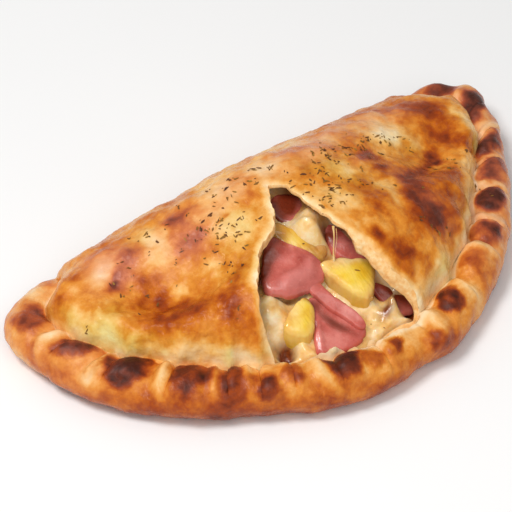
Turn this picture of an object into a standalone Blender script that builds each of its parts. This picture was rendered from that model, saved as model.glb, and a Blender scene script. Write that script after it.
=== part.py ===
"""Calzone: a half-moon of baked dough, crimped along its round side and torn open on top.

The frame has +X along the fold, the crimped rim towards -Y and +Z up. Its origin is at the
middle of the flat base. Sizes are in metres and directions in degrees. The shapes are first
laid out around the middle of the fold, and main() then moves them to the frame's origin.
"""

import math

import bmesh
import bpy
import numpy as np
from mathutils import Vector

# The rim's outer wall: how far it lies from the middle of the fold, by direction.
RIM_REACH = (
    (177, 0.1030), (179, 0.1115), (182, 0.1190), (187, 0.1236), (194, 0.1256), (204, 0.1270),
    (218, 0.1256), (228, 0.1240), (236, 0.1220), (243, 0.1218), (251, 0.1236), (259, 0.1245),
    (266, 0.1236), (273, 0.1216), (280, 0.1240), (286, 0.1222), (294, 0.1206), (310, 0.1192),
    (318, 0.1186), (328, 0.1190), (335, 0.1200), (340, 0.1222), (345, 0.1252), (349, 0.1240),
    (353, 0.1262), (356, 0.1244), (359, 0.1172), (361, 0.1158), (363, 0.1100),
)
# Where each crimp is folded over the next one. The two runs start at the tips and meet.
LEFT_CRIMPS = (177, 196, 208, 221, 233, 239.5, 246, 255, 265, 276)
RIGHT_CRIMPS = (276, 291, 303.5, 311, 322, 332, 342, 350, 357, 363)

HALF_LENGTH = 0.122
HALF_DEPTH = 0.066
RIM_WIDTH = 0.0178
RIM_HEIGHT = 0.0188
CREASE_ANGLE = 136.0
CRIMP_LIFT = 0.0016
LIP_REACH = 0.0030
CRIMP_FADE = 0.3
CRIMP_STEPS = (0.0, 0.08, 0.27, 0.5, 0.75, 0.94)
INNER_STEPS = (0.1, 0.4, 0.7)

FOLD_BULGE = 0.0030
FOLD_EDGE_HEIGHT = 0.0080
FOLD_EDGE_INSET = 0.0080
FOLD_BLEND = 0.016
FOLD_COLUMNS = 26
INNER_FOLD_COLUMNS = 16

DOME_HEIGHT = 0.0510
CROWN_Y = -0.0495
CROWN_HALF_LENGTH = 0.0710
CROWN_HALF_WIDTH = 0.014
END_DROP = 0.52
FRONT_SHAPE = (2.0, 0.66)
BACK_SHAPE = (1.9, 0.73)
SECTION_ROWS = 8
DOME_RINGS = 7

WALL = 0.0045
WALL_INSET = 0.0030
FLOOR = 0.0050
CAVITY_RINGS = 6
GAP = 0.0003
CUT_GAP = 0.0005

# The tear, seen from above: down its left side, along the rim, then back up its right side.
TEAR = (
    (-0.010, -0.0375), (-0.012, -0.042), (-0.015, -0.0475), (-0.0185, -0.053), (-0.024, -0.0575),
    (-0.030, -0.0605), (-0.036, -0.066), (-0.041, -0.0725), (-0.0445, -0.079), (-0.048, -0.085),
    (-0.048, -0.0905), (-0.0455, -0.096), (-0.040, -0.0985), (-0.033, -0.1005), (-0.028, -0.103),
    (-0.021, -0.104), (-0.014, -0.1055), (-0.006, -0.108), (0.003, -0.109), (0.011, -0.1085),
    (0.0150, -0.1045), (0.012, -0.0995), (0.0080, -0.0950), (0.005, -0.0895), (0.0015, -0.0845),
    (-0.0007, -0.0795), (-0.0020, -0.0730), (-0.0055, -0.0690), (-0.0050, -0.0620),
    (-0.0035, -0.0560), (-0.0055, -0.0500), (-0.0055, -0.0430),
)
TEAR_BOTTOM = 0.0125
TEAR_TOP = 0.060
HOLLOW_REACH = 0.013

# The filling's surface under the tear is a slope that rises from the rim towards the fold.
SLOPE_START = (-0.100, 0.0145)
SLOPE = 0.45

# Ham slices and pineapple chunks. Each one has its outline seen from above, how high its top
# stands over the slope, how much its middle bulges, its thickness and the roundness of its edge.
HAM = {
    "ham_left": dict(
        outline=((-0.022, -0.0535), (-0.015, -0.060), (-0.010, -0.067), (-0.0085, -0.0735),
                 (-0.013, -0.0775), (-0.021, -0.0785), (-0.029, -0.0770), (-0.0355, -0.0725),
                 (-0.0345, -0.066), (-0.029, -0.059)),
        lift=0.0060, bulge=0.0022, thickness=0.0040),
    "ham_strip": dict(
        outline=((-0.0175, -0.0800), (-0.0125, -0.0795), (-0.0095, -0.0855), (-0.0065, -0.0925),
                 (-0.0065, -0.0975), (-0.0095, -0.0975), (-0.0130, -0.0920), (-0.0165, -0.0870)),
        lift=0.0056, bulge=0.0010, thickness=0.0030),
    "ham_front": dict(
        outline=((-0.0200, -0.0830), (-0.0150, -0.0855), (-0.0105, -0.0930), (-0.0080, -0.0985),
                 (-0.0120, -0.1015), (-0.0200, -0.1015), (-0.0270, -0.1000), (-0.0300, -0.0975),
                 (-0.0255, -0.0900)),
        lift=0.0030, bulge=0.0006, thickness=0.0035),
    "ham_back": dict(
        outline=((-0.0130, -0.0400), (-0.0060, -0.0375), (0.0015, -0.0400), (0.0035, -0.0460),
                 (0.0005, -0.0520), (-0.0065, -0.0525), (-0.0115, -0.0475)),
        lift=0.0005, bulge=0.0010, thickness=0.0035),
    "ham_right_back": dict(
        outline=((0.0020, -0.0570), (0.0090, -0.0560), (0.0145, -0.0620), (0.0165, -0.0710),
                 (0.0130, -0.0760), (0.0050, -0.0735), (0.0000, -0.0665)),
        lift=0.0010, bulge=0.0012, thickness=0.0035),
    "ham_right": dict(
        outline=((0.0070, -0.0830), (0.0125, -0.0825), (0.0160, -0.0890), (0.0185, -0.0970),
                 (0.0165, -0.1010), (0.0100, -0.0985), (0.0070, -0.0910)),
        lift=0.0010, bulge=0.0008, thickness=0.0030),
}
PINEAPPLE = {
    "pineapple_right": dict(
        outline=((-0.0115, -0.0715), (-0.0020, -0.0735), (0.0060, -0.0765), (0.0090, -0.0800),
                 (0.0040, -0.0870), (-0.0030, -0.0935), (-0.0060, -0.0910), (-0.0085, -0.0840),
                 (-0.0115, -0.0775)),
        lift=0.0075, bulge=0.0010, thickness=0.0125),
    "pineapple_back": dict(
        outline=((-0.0200, -0.0500), (-0.0150, -0.0490), (-0.0090, -0.0550), (-0.0025, -0.0620),
                 (-0.0020, -0.0670), (-0.0070, -0.0690), (-0.0130, -0.0640), (-0.0190, -0.0570)),
        lift=0.0045, bulge=0.0012, thickness=0.0100),
    "pineapple_front": dict(
        outline=((-0.0225, -0.0795), (-0.0225, -0.0850), (-0.0285, -0.0910), (-0.0345, -0.0965),
                 (-0.0400, -0.0945), (-0.0420, -0.0885), (-0.0385, -0.0830), (-0.0300, -0.0800)),
        lift=0.0062, bulge=0.0012, thickness=0.0110),
}
# From the top of the pile down: an upper piece dents the lower ones.
PILE = ("ham_left", "ham_strip", "pineapple_right", "pineapple_front", "pineapple_back",
        "ham_front", "ham_right_back", "ham_back", "ham_right")
SLAB_COLUMNS = 18
SLAB_SECTION = ((0.55, 0.0), (0.90, 0.05), (1.0, 0.45), (0.95, 0.80), (0.75, 0.97), (0.35, 1.0))

CRUST_COLOUR = (0.72, 0.42, 0.16)
CHEESE_COLOUR = (0.90, 0.78, 0.48)
HAM_COLOUR = (0.72, 0.30, 0.28)
PINEAPPLE_COLOUR = (0.92, 0.74, 0.22)


def smooth_step(value):
    value = np.clip(value, 0.0, 1.0)
    return value * value * (3.0 - 2.0 * value)


def rim_reach(direction):
    """Smooth curve through RIM_REACH."""
    keys, reach = np.array(RIM_REACH).T
    slopes = np.gradient(reach, keys)
    i = np.clip(np.searchsorted(keys, direction, side="right") - 1, 0, len(keys) - 2)
    span = keys[i + 1] - keys[i]
    t = (direction - keys[i]) / span
    start = (2 * t**3 - 3 * t**2 + 1) * reach[i] + (t**3 - 2 * t**2 + t) * span * slopes[i]
    end = (3 * t**2 - 2 * t**3) * reach[i + 1] + (t**3 - t**2) * span * slopes[i + 1]
    return start + end


def rim_columns(steps):
    """Direction of each rim column and its place in its crimp, 0 at the folded-over edge."""
    directions, places = [], []
    for first, last in zip(LEFT_CRIMPS, LEFT_CRIMPS[1:]):
        for q in steps:
            directions.append(first + (last - first) * q)
            places.append(q)
    for first, last in zip(RIGHT_CRIMPS, RIGHT_CRIMPS[1:]):
        for q in reversed(steps):
            directions.append(last - (last - first) * q)
            places.append(q)
    return np.array(directions), np.array(places)


class Plan:
    """The outline seen from above, and for each of its points the way in to the crown."""

    def __init__(self, steps, fold_columns):
        directions, places = rim_columns(steps)
        reach = rim_reach(directions)
        angle = np.radians(directions)
        rim = np.column_stack((reach * np.cos(angle), reach * np.sin(angle)))
        ends = [RIM_REACH[-1], RIM_REACH[0]]
        corner = np.array([(r * math.cos(math.radians(a)), r * math.sin(math.radians(a)))
                           for a, r in ends])
        t = np.linspace(0.0, 1.0, fold_columns + 2)[1:-1]
        fold = corner[0] + (corner[1] - corner[0]) * t[:, None]
        fold[:, 1] += FOLD_BULGE * 4.0 * t * (1.0 - t)
        to_corner = np.linalg.norm(fold[:, None] - corner[None], axis=2).min(axis=1)
        self.points = np.vstack((rim, fold))
        self.rimness = np.concatenate((np.ones(len(rim)), 1 - smooth_step(to_corner / FOLD_BLEND)))
        self.places = np.concatenate((places, np.full(fold_columns, 0.5)))
        turn = np.arctan2((self.points[:, 1] - CROWN_Y) / HALF_DEPTH,
                          self.points[:, 0] / HALF_LENGTH)
        crown = np.column_stack((CROWN_HALF_LENGTH * np.cos(turn),
                                 CROWN_Y + CROWN_HALF_WIDTH * np.sin(turn)))
        inward = crown - self.points
        self.depth = np.linalg.norm(inward, axis=1)
        self.inward = inward / self.depth[:, None]

    def at(self, shift):
        return self.points + self.inward * np.asarray(shift)[:, None]

    def section(self, angle, crimped=True):
        """Shift inwards and height of the rim's rolled section, blended into the fold's edge."""
        arch = np.sin(np.pi * self.places) ** 0.7
        saw = np.where(self.places == 0.0, -0.9, (1.0 - self.places) ** 1.2 - 0.45)
        on_top = float(smooth_step((angle + 0.3) / 1.6))
        width = RIM_WIDTH + crimped * LIP_REACH * arch
        height = RIM_HEIGHT + crimped * CRIMP_LIFT * saw * on_top
        rim_in = 0.5 * width * (1.0 - math.cos(angle))
        rim_up = 0.5 * height * (1.0 + math.sin(angle))
        part = (angle + math.pi / 2) / (math.radians(CREASE_ANGLE) + math.pi / 2)
        fold_in = FOLD_EDGE_INSET * (1.0 - math.sin(min(part * 1.6, 1.0) * math.pi / 2))
        fold_up = FOLD_EDGE_HEIGHT * part
        shift = self.rimness * rim_in + (1.0 - self.rimness) * fold_in
        return shift, self.rimness * rim_up + (1.0 - self.rimness) * fold_up

    def dome_height(self, shift, crimped=True):
        """Height of the dough's outer surface at a shift inwards from the outline."""
        crease_in, crimped_up = self.section(math.radians(CREASE_ANGLE), crimped)
        crease_up = self.section(math.radians(CREASE_ANGLE), crimped=False)[1]
        s = np.clip((shift - crease_in) / (self.depth - crease_in), 0.0, 1.0)
        plan = self.at(shift)
        crown_up = DOME_HEIGHT * (1.0 - END_DROP * (plan[:, 0] / CROWN_HALF_LENGTH) ** 2 * s)
        front = (1.0 - (1.0 - s) ** FRONT_SHAPE[0]) ** FRONT_SHAPE[1]
        back = (1.0 - (1.0 - s) ** BACK_SHAPE[0]) ** BACK_SHAPE[1]
        rise = self.rimness * front + (1.0 - self.rimness) * back
        crimp = (crimped_up - crease_up) * (1.0 - smooth_step(s / CRIMP_FADE))
        return crease_up + (crown_up - crease_up) * rise + crimp


def crust_rings():
    """From the base's edge, over the rim and its crimps, up to the crown."""
    plan = Plan(CRIMP_STEPS, FOLD_COLUMNS)
    rings = []
    for angle in np.linspace(-math.pi / 2, math.radians(CREASE_ANGLE), SECTION_ROWS):
        shift, up = plan.section(angle)
        rings.append(np.column_stack((plan.at(shift), up)))
    crease_in = shift
    for step in range(1, DOME_RINGS + 1):
        s = (step / DOME_RINGS) ** 1.25
        shift = crease_in + (plan.depth - crease_in) * s
        rings.append(np.column_stack((plan.at(shift), plan.dome_height(shift))))
    return rings


def cavity_rings(gap=0.0, surface=None):
    """The space inside the dough, smaller all round by a gap, under a surface if one is given."""
    plan = Plan(INNER_STEPS, INNER_FOLD_COLUMNS)
    fold_start = FOLD_EDGE_INSET + WALL_INSET
    start = plan.rimness * (RIM_WIDTH - 0.001) + (1.0 - plan.rimness) * fold_start + gap
    end = plan.depth - 0.001
    rings = [np.column_stack((plan.at(start), np.full(len(start), FLOOR + gap)))]
    for step in range(CAVITY_RINGS + 1):
        shift = start + (end - start) * (step / CAVITY_RINGS) ** 1.2
        up = plan.dome_height(shift - WALL_INSET - gap, crimped=False) - WALL - gap
        flat = plan.at(shift)
        if surface is not None:
            up = surface(flat, up)
        rings.append(np.column_stack((flat, up)))
    return rings


def distance_outside(points, outline):
    """How far each point lies outside a closed outline, 0 inside it."""
    corners = np.array(outline)
    nexts = np.roll(corners, -1, axis=0)
    inside = np.zeros(len(points), bool)
    nearest = np.full(len(points), np.inf)
    for a, b in zip(corners, nexts):
        along = b - a
        t = np.clip((points - a) @ along / (along @ along), 0.0, 1.0)
        nearest = np.minimum(nearest, np.linalg.norm(points - a - t[:, None] * along, axis=1))
        crosses = (a[1] > points[:, 1]) != (b[1] > points[:, 1])
        reach = (b[0] - a[0]) * (points[:, 1] - a[1]) / (b[1] - a[1] + 1e-12) + a[0]
        inside ^= crosses & (points[:, 0] < reach)
    return np.where(inside, 0.0, nearest)


def slope_height(points):
    return SLOPE_START[1] + (points[:, 1] - SLOPE_START[0]) * SLOPE


def filling_surface(points, ceiling):
    """The filling fills the dough, but sinks to the slope in and around the tear."""
    sunk = 1.0 - smooth_step((distance_outside(points, TEAR) - 0.004) / HOLLOW_REACH)
    ripple = 0.0008 * np.sin(points[:, 0] * 420.0) * np.sin(points[:, 1] * 380.0 + 1.0)
    low = np.minimum(slope_height(points) - 0.001 + ripple, ceiling)
    return np.maximum(ceiling + (low - ceiling) * sunk, FLOOR + 0.004)


def rounded_outline(corners, count):
    """Evenly spread points on a closed smooth curve through the corners."""
    corners = np.array(corners)
    before, after = np.roll(corners, 1, axis=0), np.roll(corners, -1, axis=0)
    beyond = np.roll(corners, -2, axis=0)
    fine = []
    for p0, p1, p2, p3 in zip(before, corners, after, beyond):
        for t in np.linspace(0.0, 1.0, 8, endpoint=False):
            fine.append(0.5 * (2 * p1 + (p2 - p0) * t + (2 * p0 - 5 * p1 + 4 * p2 - p3) * t**2
                               + (3 * p1 - p0 - 3 * p2 + p3) * t**3))
    fine = np.array(fine + fine[:1])
    walked = np.concatenate(([0.0], np.cumsum(np.linalg.norm(np.diff(fine, axis=0), axis=1))))
    wanted = np.linspace(0.0, walked[-1], count, endpoint=False)
    return np.column_stack([np.interp(wanted, walked, fine[:, k]) for k in (0, 1)])


def slab_rings(outline, lift, bulge, thickness, grow=0.0):
    """A slice or chunk lying on the slope, with rounded edges."""
    edge = rounded_outline(outline, SLAB_COLUMNS)
    middle = edge.mean(axis=0)
    reach = np.linalg.norm(edge - middle, axis=1).mean()
    if area(edge) < 0:
        edge = edge[::-1]
    rings = []
    for share, part in SLAB_SECTION:
        flat = middle + (edge - middle) * (share * (1.0 + grow / reach))
        up = slope_height(flat) + lift + bulge * (1.0 - share**2)
        up += grow * (2.0 * part - 1.0) - (1.0 - part) * thickness
        rings.append(np.column_stack((flat, up)))
    return rings


def area(loop):
    """Signed area of a closed loop, positive when it runs anticlockwise."""
    x, y = loop.T
    return 0.5 * float(np.sum(x * np.roll(y, -1) - y * np.roll(x, -1)))


def prism_rings(outline, low, high):
    flat = np.array(outline)
    if area(flat) < 0:
        flat = flat[::-1]
    return [np.column_stack((flat, np.full(len(flat), z))) for z in (low, high)]


def add_material(target, name, colour, roughness):
    material = bpy.data.materials.new(name)
    material.use_nodes = True
    shader = material.node_tree.nodes["Principled BSDF"]
    shader.inputs["Base Color"].default_value = (*colour, 1.0)
    shader.inputs["Roughness"].default_value = roughness
    target.data.materials.append(material)


def close_crown(mesh, loop):
    """Triangles across a loop that is long in X, so that each one is short along X."""
    count = len(loop)
    left = min(range(count), key=lambda i: loop[i].co.x)
    right = max(range(count), key=lambda i: loop[i].co.x)
    front = [loop[(left + k) % count] for k in range((right - left) % count + 1)]
    back = [loop[(left - k) % count] for k in range((left - right) % count + 1)]
    i = j = 1
    mesh.faces.new((front[0], front[1], back[1]))
    while (i, j) != (len(front) - 2, len(back) - 2):
        in_front = front[i + 1].co.x <= back[j + 1].co.x
        if j == len(back) - 2 or (in_front and i < len(front) - 2):
            mesh.faces.new((front[i], front[i + 1], back[j]))
            i += 1
        else:
            mesh.faces.new((front[i], back[j + 1], back[j]))
            j += 1
    mesh.faces.new((front[-2], front[-1], back[-2]))


def mesh_object(name, rings, crowned=False):
    """One closed body: rings of points joined by quads and capped at both ends."""
    mesh = bmesh.new()
    loops = [[mesh.verts.new(point) for point in ring] for ring in rings]
    count = len(loops[0])
    for lower, upper in zip(loops, loops[1:]):
        for i in range(count):
            j = (i + 1) % count
            mesh.faces.new((lower[i], lower[j], upper[j], upper[i]))
    mesh.faces.new(list(reversed(loops[0])))
    if crowned:
        close_crown(mesh, loops[-1])
    else:
        mesh.faces.new(loops[-1])
    bmesh.ops.triangulate(mesh, faces=mesh.faces[:])
    data = bpy.data.meshes.new(name)
    mesh.to_mesh(data)
    mesh.free()
    made = bpy.data.objects.new(name, data)
    bpy.context.collection.objects.link(made)
    return made


def cutter(name, rings, crowned=False):
    made = mesh_object(name, rings, crowned)
    made.hide_render = True
    made.display_type = "WIRE"
    return made


def cut(target, tool):
    modifier = target.modifiers.new(tool.name, "BOOLEAN")
    modifier.operation = "DIFFERENCE"
    modifier.solver = "EXACT"
    modifier.object = tool


def make_crust():
    crust = mesh_object("crust", crust_rings(), crowned=True)
    add_material(crust, "crust", CRUST_COLOUR, 0.45)
    cut(crust, cutter("cavity_cutter", cavity_rings(), crowned=True))
    cut(crust, cutter("tear_cutter", prism_rings(TEAR, TEAR_BOTTOM, TEAR_TOP)))
    return crust


def make_filling():
    filling = mesh_object("filling", cavity_rings(GAP, filling_surface), crowned=True)
    add_material(filling, "filling", CHEESE_COLOUR, 0.35)
    return filling


def make_pile(filling):
    """Each piece is cut by the enlarged pieces above it, and the filling by all of them."""
    slabs = {**HAM, **PINEAPPLE}
    made, tools = {}, {}
    for name in PILE:
        made[name] = mesh_object(name, slab_rings(**slabs[name]))
        colour = HAM_COLOUR if name in HAM else PINEAPPLE_COLOUR
        add_material(made[name], name, colour, 0.4)
        for tool in tools.values():
            cut(made[name], tool)
        tools[name] = cutter(name + "_cutter", slab_rings(**slabs[name], grow=CUT_GAP))
        cut(filling, tools[name])


def main():
    for old in list(bpy.data.objects):
        bpy.data.objects.remove(old)
    crust = make_crust()
    make_pile(make_filling())
    corners = np.array([vertex.co for vertex in crust.data.vertices])
    low, high = corners.min(axis=0), corners.max(axis=0)
    to_origin = Vector((-(low[0] + high[0]) / 2, -(low[1] + high[1]) / 2, -low[2]))
    for made in bpy.data.objects:
        made.location = to_origin


main()
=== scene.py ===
"""Looks of the calzone: blistered crust, crimped rim, melted cheese, ham, pineapple and herbs.

Every piece is laid out around the middle of the fold, with +X along the fold and the crimped
rim towards -Y, and then moved to its place in the frame. Sizes are in metres, directions and
section angles in degrees. A section angle is -90 at the base, 0 at the rim's outer wall, 90 on
its top and 136 in the crease where the dome starts.
"""

import math

import bpy
import numpy as np
from mathutils import Matrix, Vector
from mathutils.bvhtree import BVHTree


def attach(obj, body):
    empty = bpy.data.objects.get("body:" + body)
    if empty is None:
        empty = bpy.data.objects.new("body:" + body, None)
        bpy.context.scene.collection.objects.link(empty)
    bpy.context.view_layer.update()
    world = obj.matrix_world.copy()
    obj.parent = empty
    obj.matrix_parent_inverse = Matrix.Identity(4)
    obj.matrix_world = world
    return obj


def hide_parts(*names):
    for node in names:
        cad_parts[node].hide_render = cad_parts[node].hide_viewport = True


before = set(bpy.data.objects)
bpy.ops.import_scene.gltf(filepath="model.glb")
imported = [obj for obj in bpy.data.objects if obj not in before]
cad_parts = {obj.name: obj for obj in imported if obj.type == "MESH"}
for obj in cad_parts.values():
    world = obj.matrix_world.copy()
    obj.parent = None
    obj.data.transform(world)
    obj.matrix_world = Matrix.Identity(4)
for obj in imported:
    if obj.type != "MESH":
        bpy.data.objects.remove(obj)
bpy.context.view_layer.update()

FOLD_MIDDLE = (-0.0013, 0.0573, 0.0)
MM = 0.001

# The dough's form, as in the CAD model.
RIM_REACH = (
    (177, 0.1030), (179, 0.1115), (182, 0.1190), (187, 0.1236), (194, 0.1256), (204, 0.1270),
    (218, 0.1256), (228, 0.1240), (236, 0.1220), (243, 0.1218), (251, 0.1236), (259, 0.1245),
    (266, 0.1236), (273, 0.1216), (280, 0.1240), (286, 0.1222), (294, 0.1206), (310, 0.1192),
    (318, 0.1186), (328, 0.1190), (335, 0.1200), (340, 0.1222), (345, 0.1252), (349, 0.1240),
    (353, 0.1262), (356, 0.1244), (359, 0.1172), (361, 0.1158), (363, 0.1100),
)
LEFT_CRIMPS = (177, 196, 208, 221, 233, 239.5, 246, 255, 265, 276)
RIGHT_CRIMPS = (276, 291, 303.5, 311, 322, 332, 342, 350, 357, 363)
RUNS_MEET = 276.0
HALF_LENGTH = 0.122
HALF_DEPTH = 0.066
RIM_WIDTH = 0.0178
RIM_HEIGHT = 0.0188
CREASE_ANGLE = 136.0
BROAD_LEFT_RIM = (209.0, 19.0, 0.0034)
LOW_LEFT_END = (193.0, 12.0, 0.22)
CRIMP_LIFT = 0.0016
LIP_REACH = 0.0030
CRIMP_FADE = 0.3
FOLD_BULGE = 0.0030
FOLD_EDGE_HEIGHT = 0.0080
FOLD_EDGE_INSET = 0.0080
FOLD_BLEND = 0.016
DOME_HEIGHT = 0.0510
CROWN_Y = -0.0495
CROWN_HALF_LENGTH = 0.0710
CROWN_HALF_WIDTH = 0.014
END_DROP = 0.52
FRONT_SHAPE = (2.0, 0.66)
BACK_SHAPE = (1.9, 0.73)
WALL = 0.0045
WALL_INSET = 0.0030
FLOOR = 0.0050
GAP = 0.0003

RIM_COLUMNS = 460
FOLD_COLUMNS = 190
SECTION_ROWS = 34
DOME_ROWS = 62
CROWN_ROWS = 10
BASE_ROWS = 6

# The tear, seen from above: down its left side, along the rim, then back up its right side.
TEAR = (
    (-0.010, -0.0375), (-0.012, -0.042), (-0.015, -0.0475), (-0.0185, -0.053), (-0.024, -0.0575),
    (-0.030, -0.0605), (-0.036, -0.066), (-0.041, -0.0725), (-0.0445, -0.079), (-0.048, -0.085),
    (-0.048, -0.0905), (-0.0455, -0.096), (-0.040, -0.0985), (-0.033, -0.1005), (-0.028, -0.103),
    (-0.021, -0.104), (-0.014, -0.1055), (-0.006, -0.108), (0.003, -0.109), (0.011, -0.1085),
    (0.0155, -0.1045), (0.0130, -0.0990), (0.0095, -0.0940), (0.0068, -0.0885), (0.0045, -0.0835),
    (0.0014, -0.0795), (-0.0002, -0.0750), (-0.0018, -0.0705), (-0.0022, -0.0655),
    (-0.0030, -0.0590), (-0.0045, -0.0530), (-0.0052, -0.0470), (-0.0055, -0.0420),
)
TEAR_BOTTOM = 0.0125
TEAR_TOP = 0.060
TEAR_STEP = 0.0008
TEAR_JITTER = 0.0009
HOLLOW_REACH = 0.013
SLOPE_START = (-0.100, 0.0145)
SLOPE = 0.45

# Crimps that rise between the folded-over edges: direction, section angle, half width and half
# height in degrees, and how brown each is baked, from 0 to 1.
CRIMPS = (
    (185.2, 90, 5.8, 66, 0.86), (197.2, 91, 4.9, 58, 0.79), (205.0, 64, 1.6, 34, 0.72), (211.4, 97, 5.6, 64, 1.06),
    (225.0, 86, 6.2, 72, 0.92), (233.3, 94, 3.0, 48, 0.76), (240.9, 52, 3.6, 36, 0.95),
    (245.8, 94, 3.6, 46, 0.86), (256.5, 94, 5.0, 48, 0.94), (262, 82, 2.6, 40, 0.72),
    (267.5, 84, 2.6, 32, 0.90), (277, 40, 3.0, 38, 0.76), (285, 90, 4.4, 40, 0.95),
    (297.5, 90, 4.6, 42, 0.76), (306.8, 88, 4.6, 50, 0.93), (319.0, 82, 5.0, 56, 0.98),
    (329, 80, 4.6, 56, 0.90), (337.5, 82, 4.8, 54, 0.92), (351.5, 92, 6.0, 74, 1.06),
    (359.5, 88, 3.2, 50, 0.84),
)
# The pale folded-over edges between them: direction at the rim's foot and on its top, half width
# in degrees, and how far it stands out, from 0 to 1.
RIDGES = (
    (196.5, 191.5, 1.0, 0.8), (206.9, 204.9, 0.8, 0.8), (222, 218.6, 1.2, 1.0),
    (232, 229.8, 1.0, 0.6), (238.0, 236.6, 0.8, 0.4), (246, 244.4, 0.9, 0.3), (255, 251, 1.4, 0.8),
    (265, 264.3, 0.8, 0.2), (271.5, 271.5, 1.6, 0.3), (276, 279, 1.6, 0.9),
    (291, 290.5, 1.2, 0.7), (303, 301.8, 1.1, 0.6), (311, 312.4, 1.2, 0.6),
    (322, 324, 1.1, 0.5), (332, 333, 1.1, 0.4), (342, 343.5, 1.2, 0.6), (357, 356.5, 1.1, 0.5),
)

# Where the rim's top stays pale: direction, half width in degrees and amount.
PALE_TOPS = ((271.5, 5.5, 0.50), (239.6, 3.0, 0.30), (264.5, 3.0, 0.15), (300.0, 2.5, 0.10))

# Browner and paler places on the dome: x and y of the middle, half length, half width (mm), the
# turn of the length from +X in degrees, and how much browner it is.
# The paler places round x -81 to -76, y -35 to -22 are a painted highlight on the left blister.
DOME_PATCHES = (
    (-97, -13, 10, 5, 45, 0.06), (-76, -12, 6, 4, 0, 0.16), (-70, -24, 8, 4, 10, 0.22),
    (-67, -23, 3, 3, 0, 0.12), (-81, -30, 8, 3.4, 20, 0.28), (-72, -37, 7, 4, 35, 0.24),
    (-84, -52, 9, 12, 45, 0.08), (-68, -46, 5, 4, 0, 0.22), (-74, -57, 13, 5, 60, 0.10), (-62, -62, 5, 8, 20, 0.16),
    (-68, -60, 6, 9, 20, 0.14), (-58, -66, 5, 12, 0, 0.10), (-55, -74, 9, 8, 0, 0.14),
    (-50, -83, 6, 8, 0, 0.08), (-76, -23, 8, 6, 0, -0.10), (-45, -10, 10, 5, 0, 0.08),
    (-45, -23, 5, 4, 0, 0.18), (-47, -45, 4, 4, 0, 0.16), (-33, -38, 3, 1.5, 0, 0.26),
    (-15, -33, 8, 2.5, 45, 0.16), (-98, -47, 7, 8, -40, -0.26), (-88, -63, 11, 4, -42, -0.28),
    (-101, -34, 5, 7, 0, -0.20), (-81, -22, 6, 5, 20, -0.24), (-48, -35, 8, 6, 0, 0.36), (-78, -35, 3, 3, 0, -0.10), (-72, -81, 8, 3, -40, -0.18), (-58, -90, 8, 3, -30, -0.24),
    (-32, -44, 7, 12, 0, -0.18), (-56, -34, 6, 5, 0, -0.14), (-42, -66, 4, 9, 20, -0.10),
    (-9, -28, 6, 5, 0, -0.14), (-32, -23, 6, 8, 0, -0.14), (-64, -34, 3, 7, 20, -0.12),
    (-90, -40, 4, 9, -30, -0.12), (-62, -52, 2.5, 9, 10, -0.14), (-50, -58, 3, 8, 0, -0.12),
    (60, -11, 6, 5, 0, 0.10), (71, -13, 8, 4, 0, 0.10), (85, -22, 10, 7, -20, 0.28),
    (86, -40, 6, 13, 0, 0.24), (62, -37, 10, 5, 15, 0.08), (35, -42, 8, 3.5, 30, 0.24),
    (70, -48, 5, 3, 30, 0.38), (58, -54, 9, 3, 32, 0.22), (38, -51, 3, 2, 0, 0.22),
    (45, -60, 10, 4, 50, 0.24), (43, -70, 8, 6, 40, 0.18), (46, -82, 8, 5, 20, 0.22),
    (62, -63, 12, 7, 40, 0.14), (57, -73, 8, 5, 0, 0.08), (36, -80, 4, 6, 0, 0.12),
    (15, -74, 8, 5, 0, 0.14), (16, -65, 6, 4, 0, -0.14), (11, -82, 3, 2.5, 0, 0.26), (21, -92, 8, 5, -20, 0.26),
    (27, -80, 6, 5, 0, 0.10), (10, -60, 9, 5, 30, -0.10), (34, -97, 14, 3, 18, -0.24),
    (58, -85, 12, 3, 35, -0.24), (98, -30, 3.5, 11, 0, -0.20), (22, -50, 9, 5, 20, -0.12),
    (59, -30.5, 9, 6, 10, -0.46), (10, -50, 7, 5, 0, 0.16), (17, -88, 6, 5, -20, 0.12), (-2, -52, 4, 6, 0, -0.10), (80, -58, 9, 3, 50, -0.16),
    (68, -38, 8, 3, 20, -0.10), (30, -70, 3, 9, -20, -0.12), (96, -14, 5, 5, 0, -0.16),
    (36, -20, 9, 5, 0, -0.14), (30, -60, 5, 4, 0, -0.18),
    (-26, -41, 6, 6, 0, -0.06), (12, -29, 8, 6, 0, 0.10), (-3, -27, 8, 6, 0, -0.22),
    (-26, -17, 7, 7, 0, -0.12), (-60, -25, 7, 5, 0, -0.20), (44, -22, 8, 4, 0, -0.10),
    (35, -28, 7, 4, 0, -0.12), (-88, -22, 7, 5, 0, -0.10), (35, -42.5, 5, 3, 0, 0.05),
    (47, -58, 7, 4, 30, 0.04), (69, -50, 5, 4, 0, 0.08), (47, -83, 8, 5, 0, 0.08),
    (16, -93, 7, 4, -20, 0.14), (10, -81, 4, 4, 0, 0.06), (-68, -65, 6, 7, 0, 0.04),
    (-83, -29, 4, 3, 0, 0.12), (-75, -21, 4, 3, 0, 0.10),
)
# Where the dough is rosier than it is golden and carries a painted pale pinkish sheen, in the same form.
ROSY_AND_SHEEN_PATCHES = (
    (-46, -35, 12, 9, 0, 0.95), (-76, -23, 13, 9, 10, 1.00), (-22, -27, 12, 8, 0, 0.50),
    (12, -28, 20, 9, 0, 0.70), (35, -42, 8, 3, 30, 0.6), (-80, -12, 8, 6, 0, 0.50),
    (46, -78, 7, 6, 0, 0.45), (44, -64, 5, 9, 0, 0.35), (-45, -22, 7, 7, 0, 0.5),
    (64, -17, 20, 7, 0, 0.6), (-78, -30, 6, 6, 0, 0.6), (36, -20, 16, 6, 0, 0.6),
)
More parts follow.
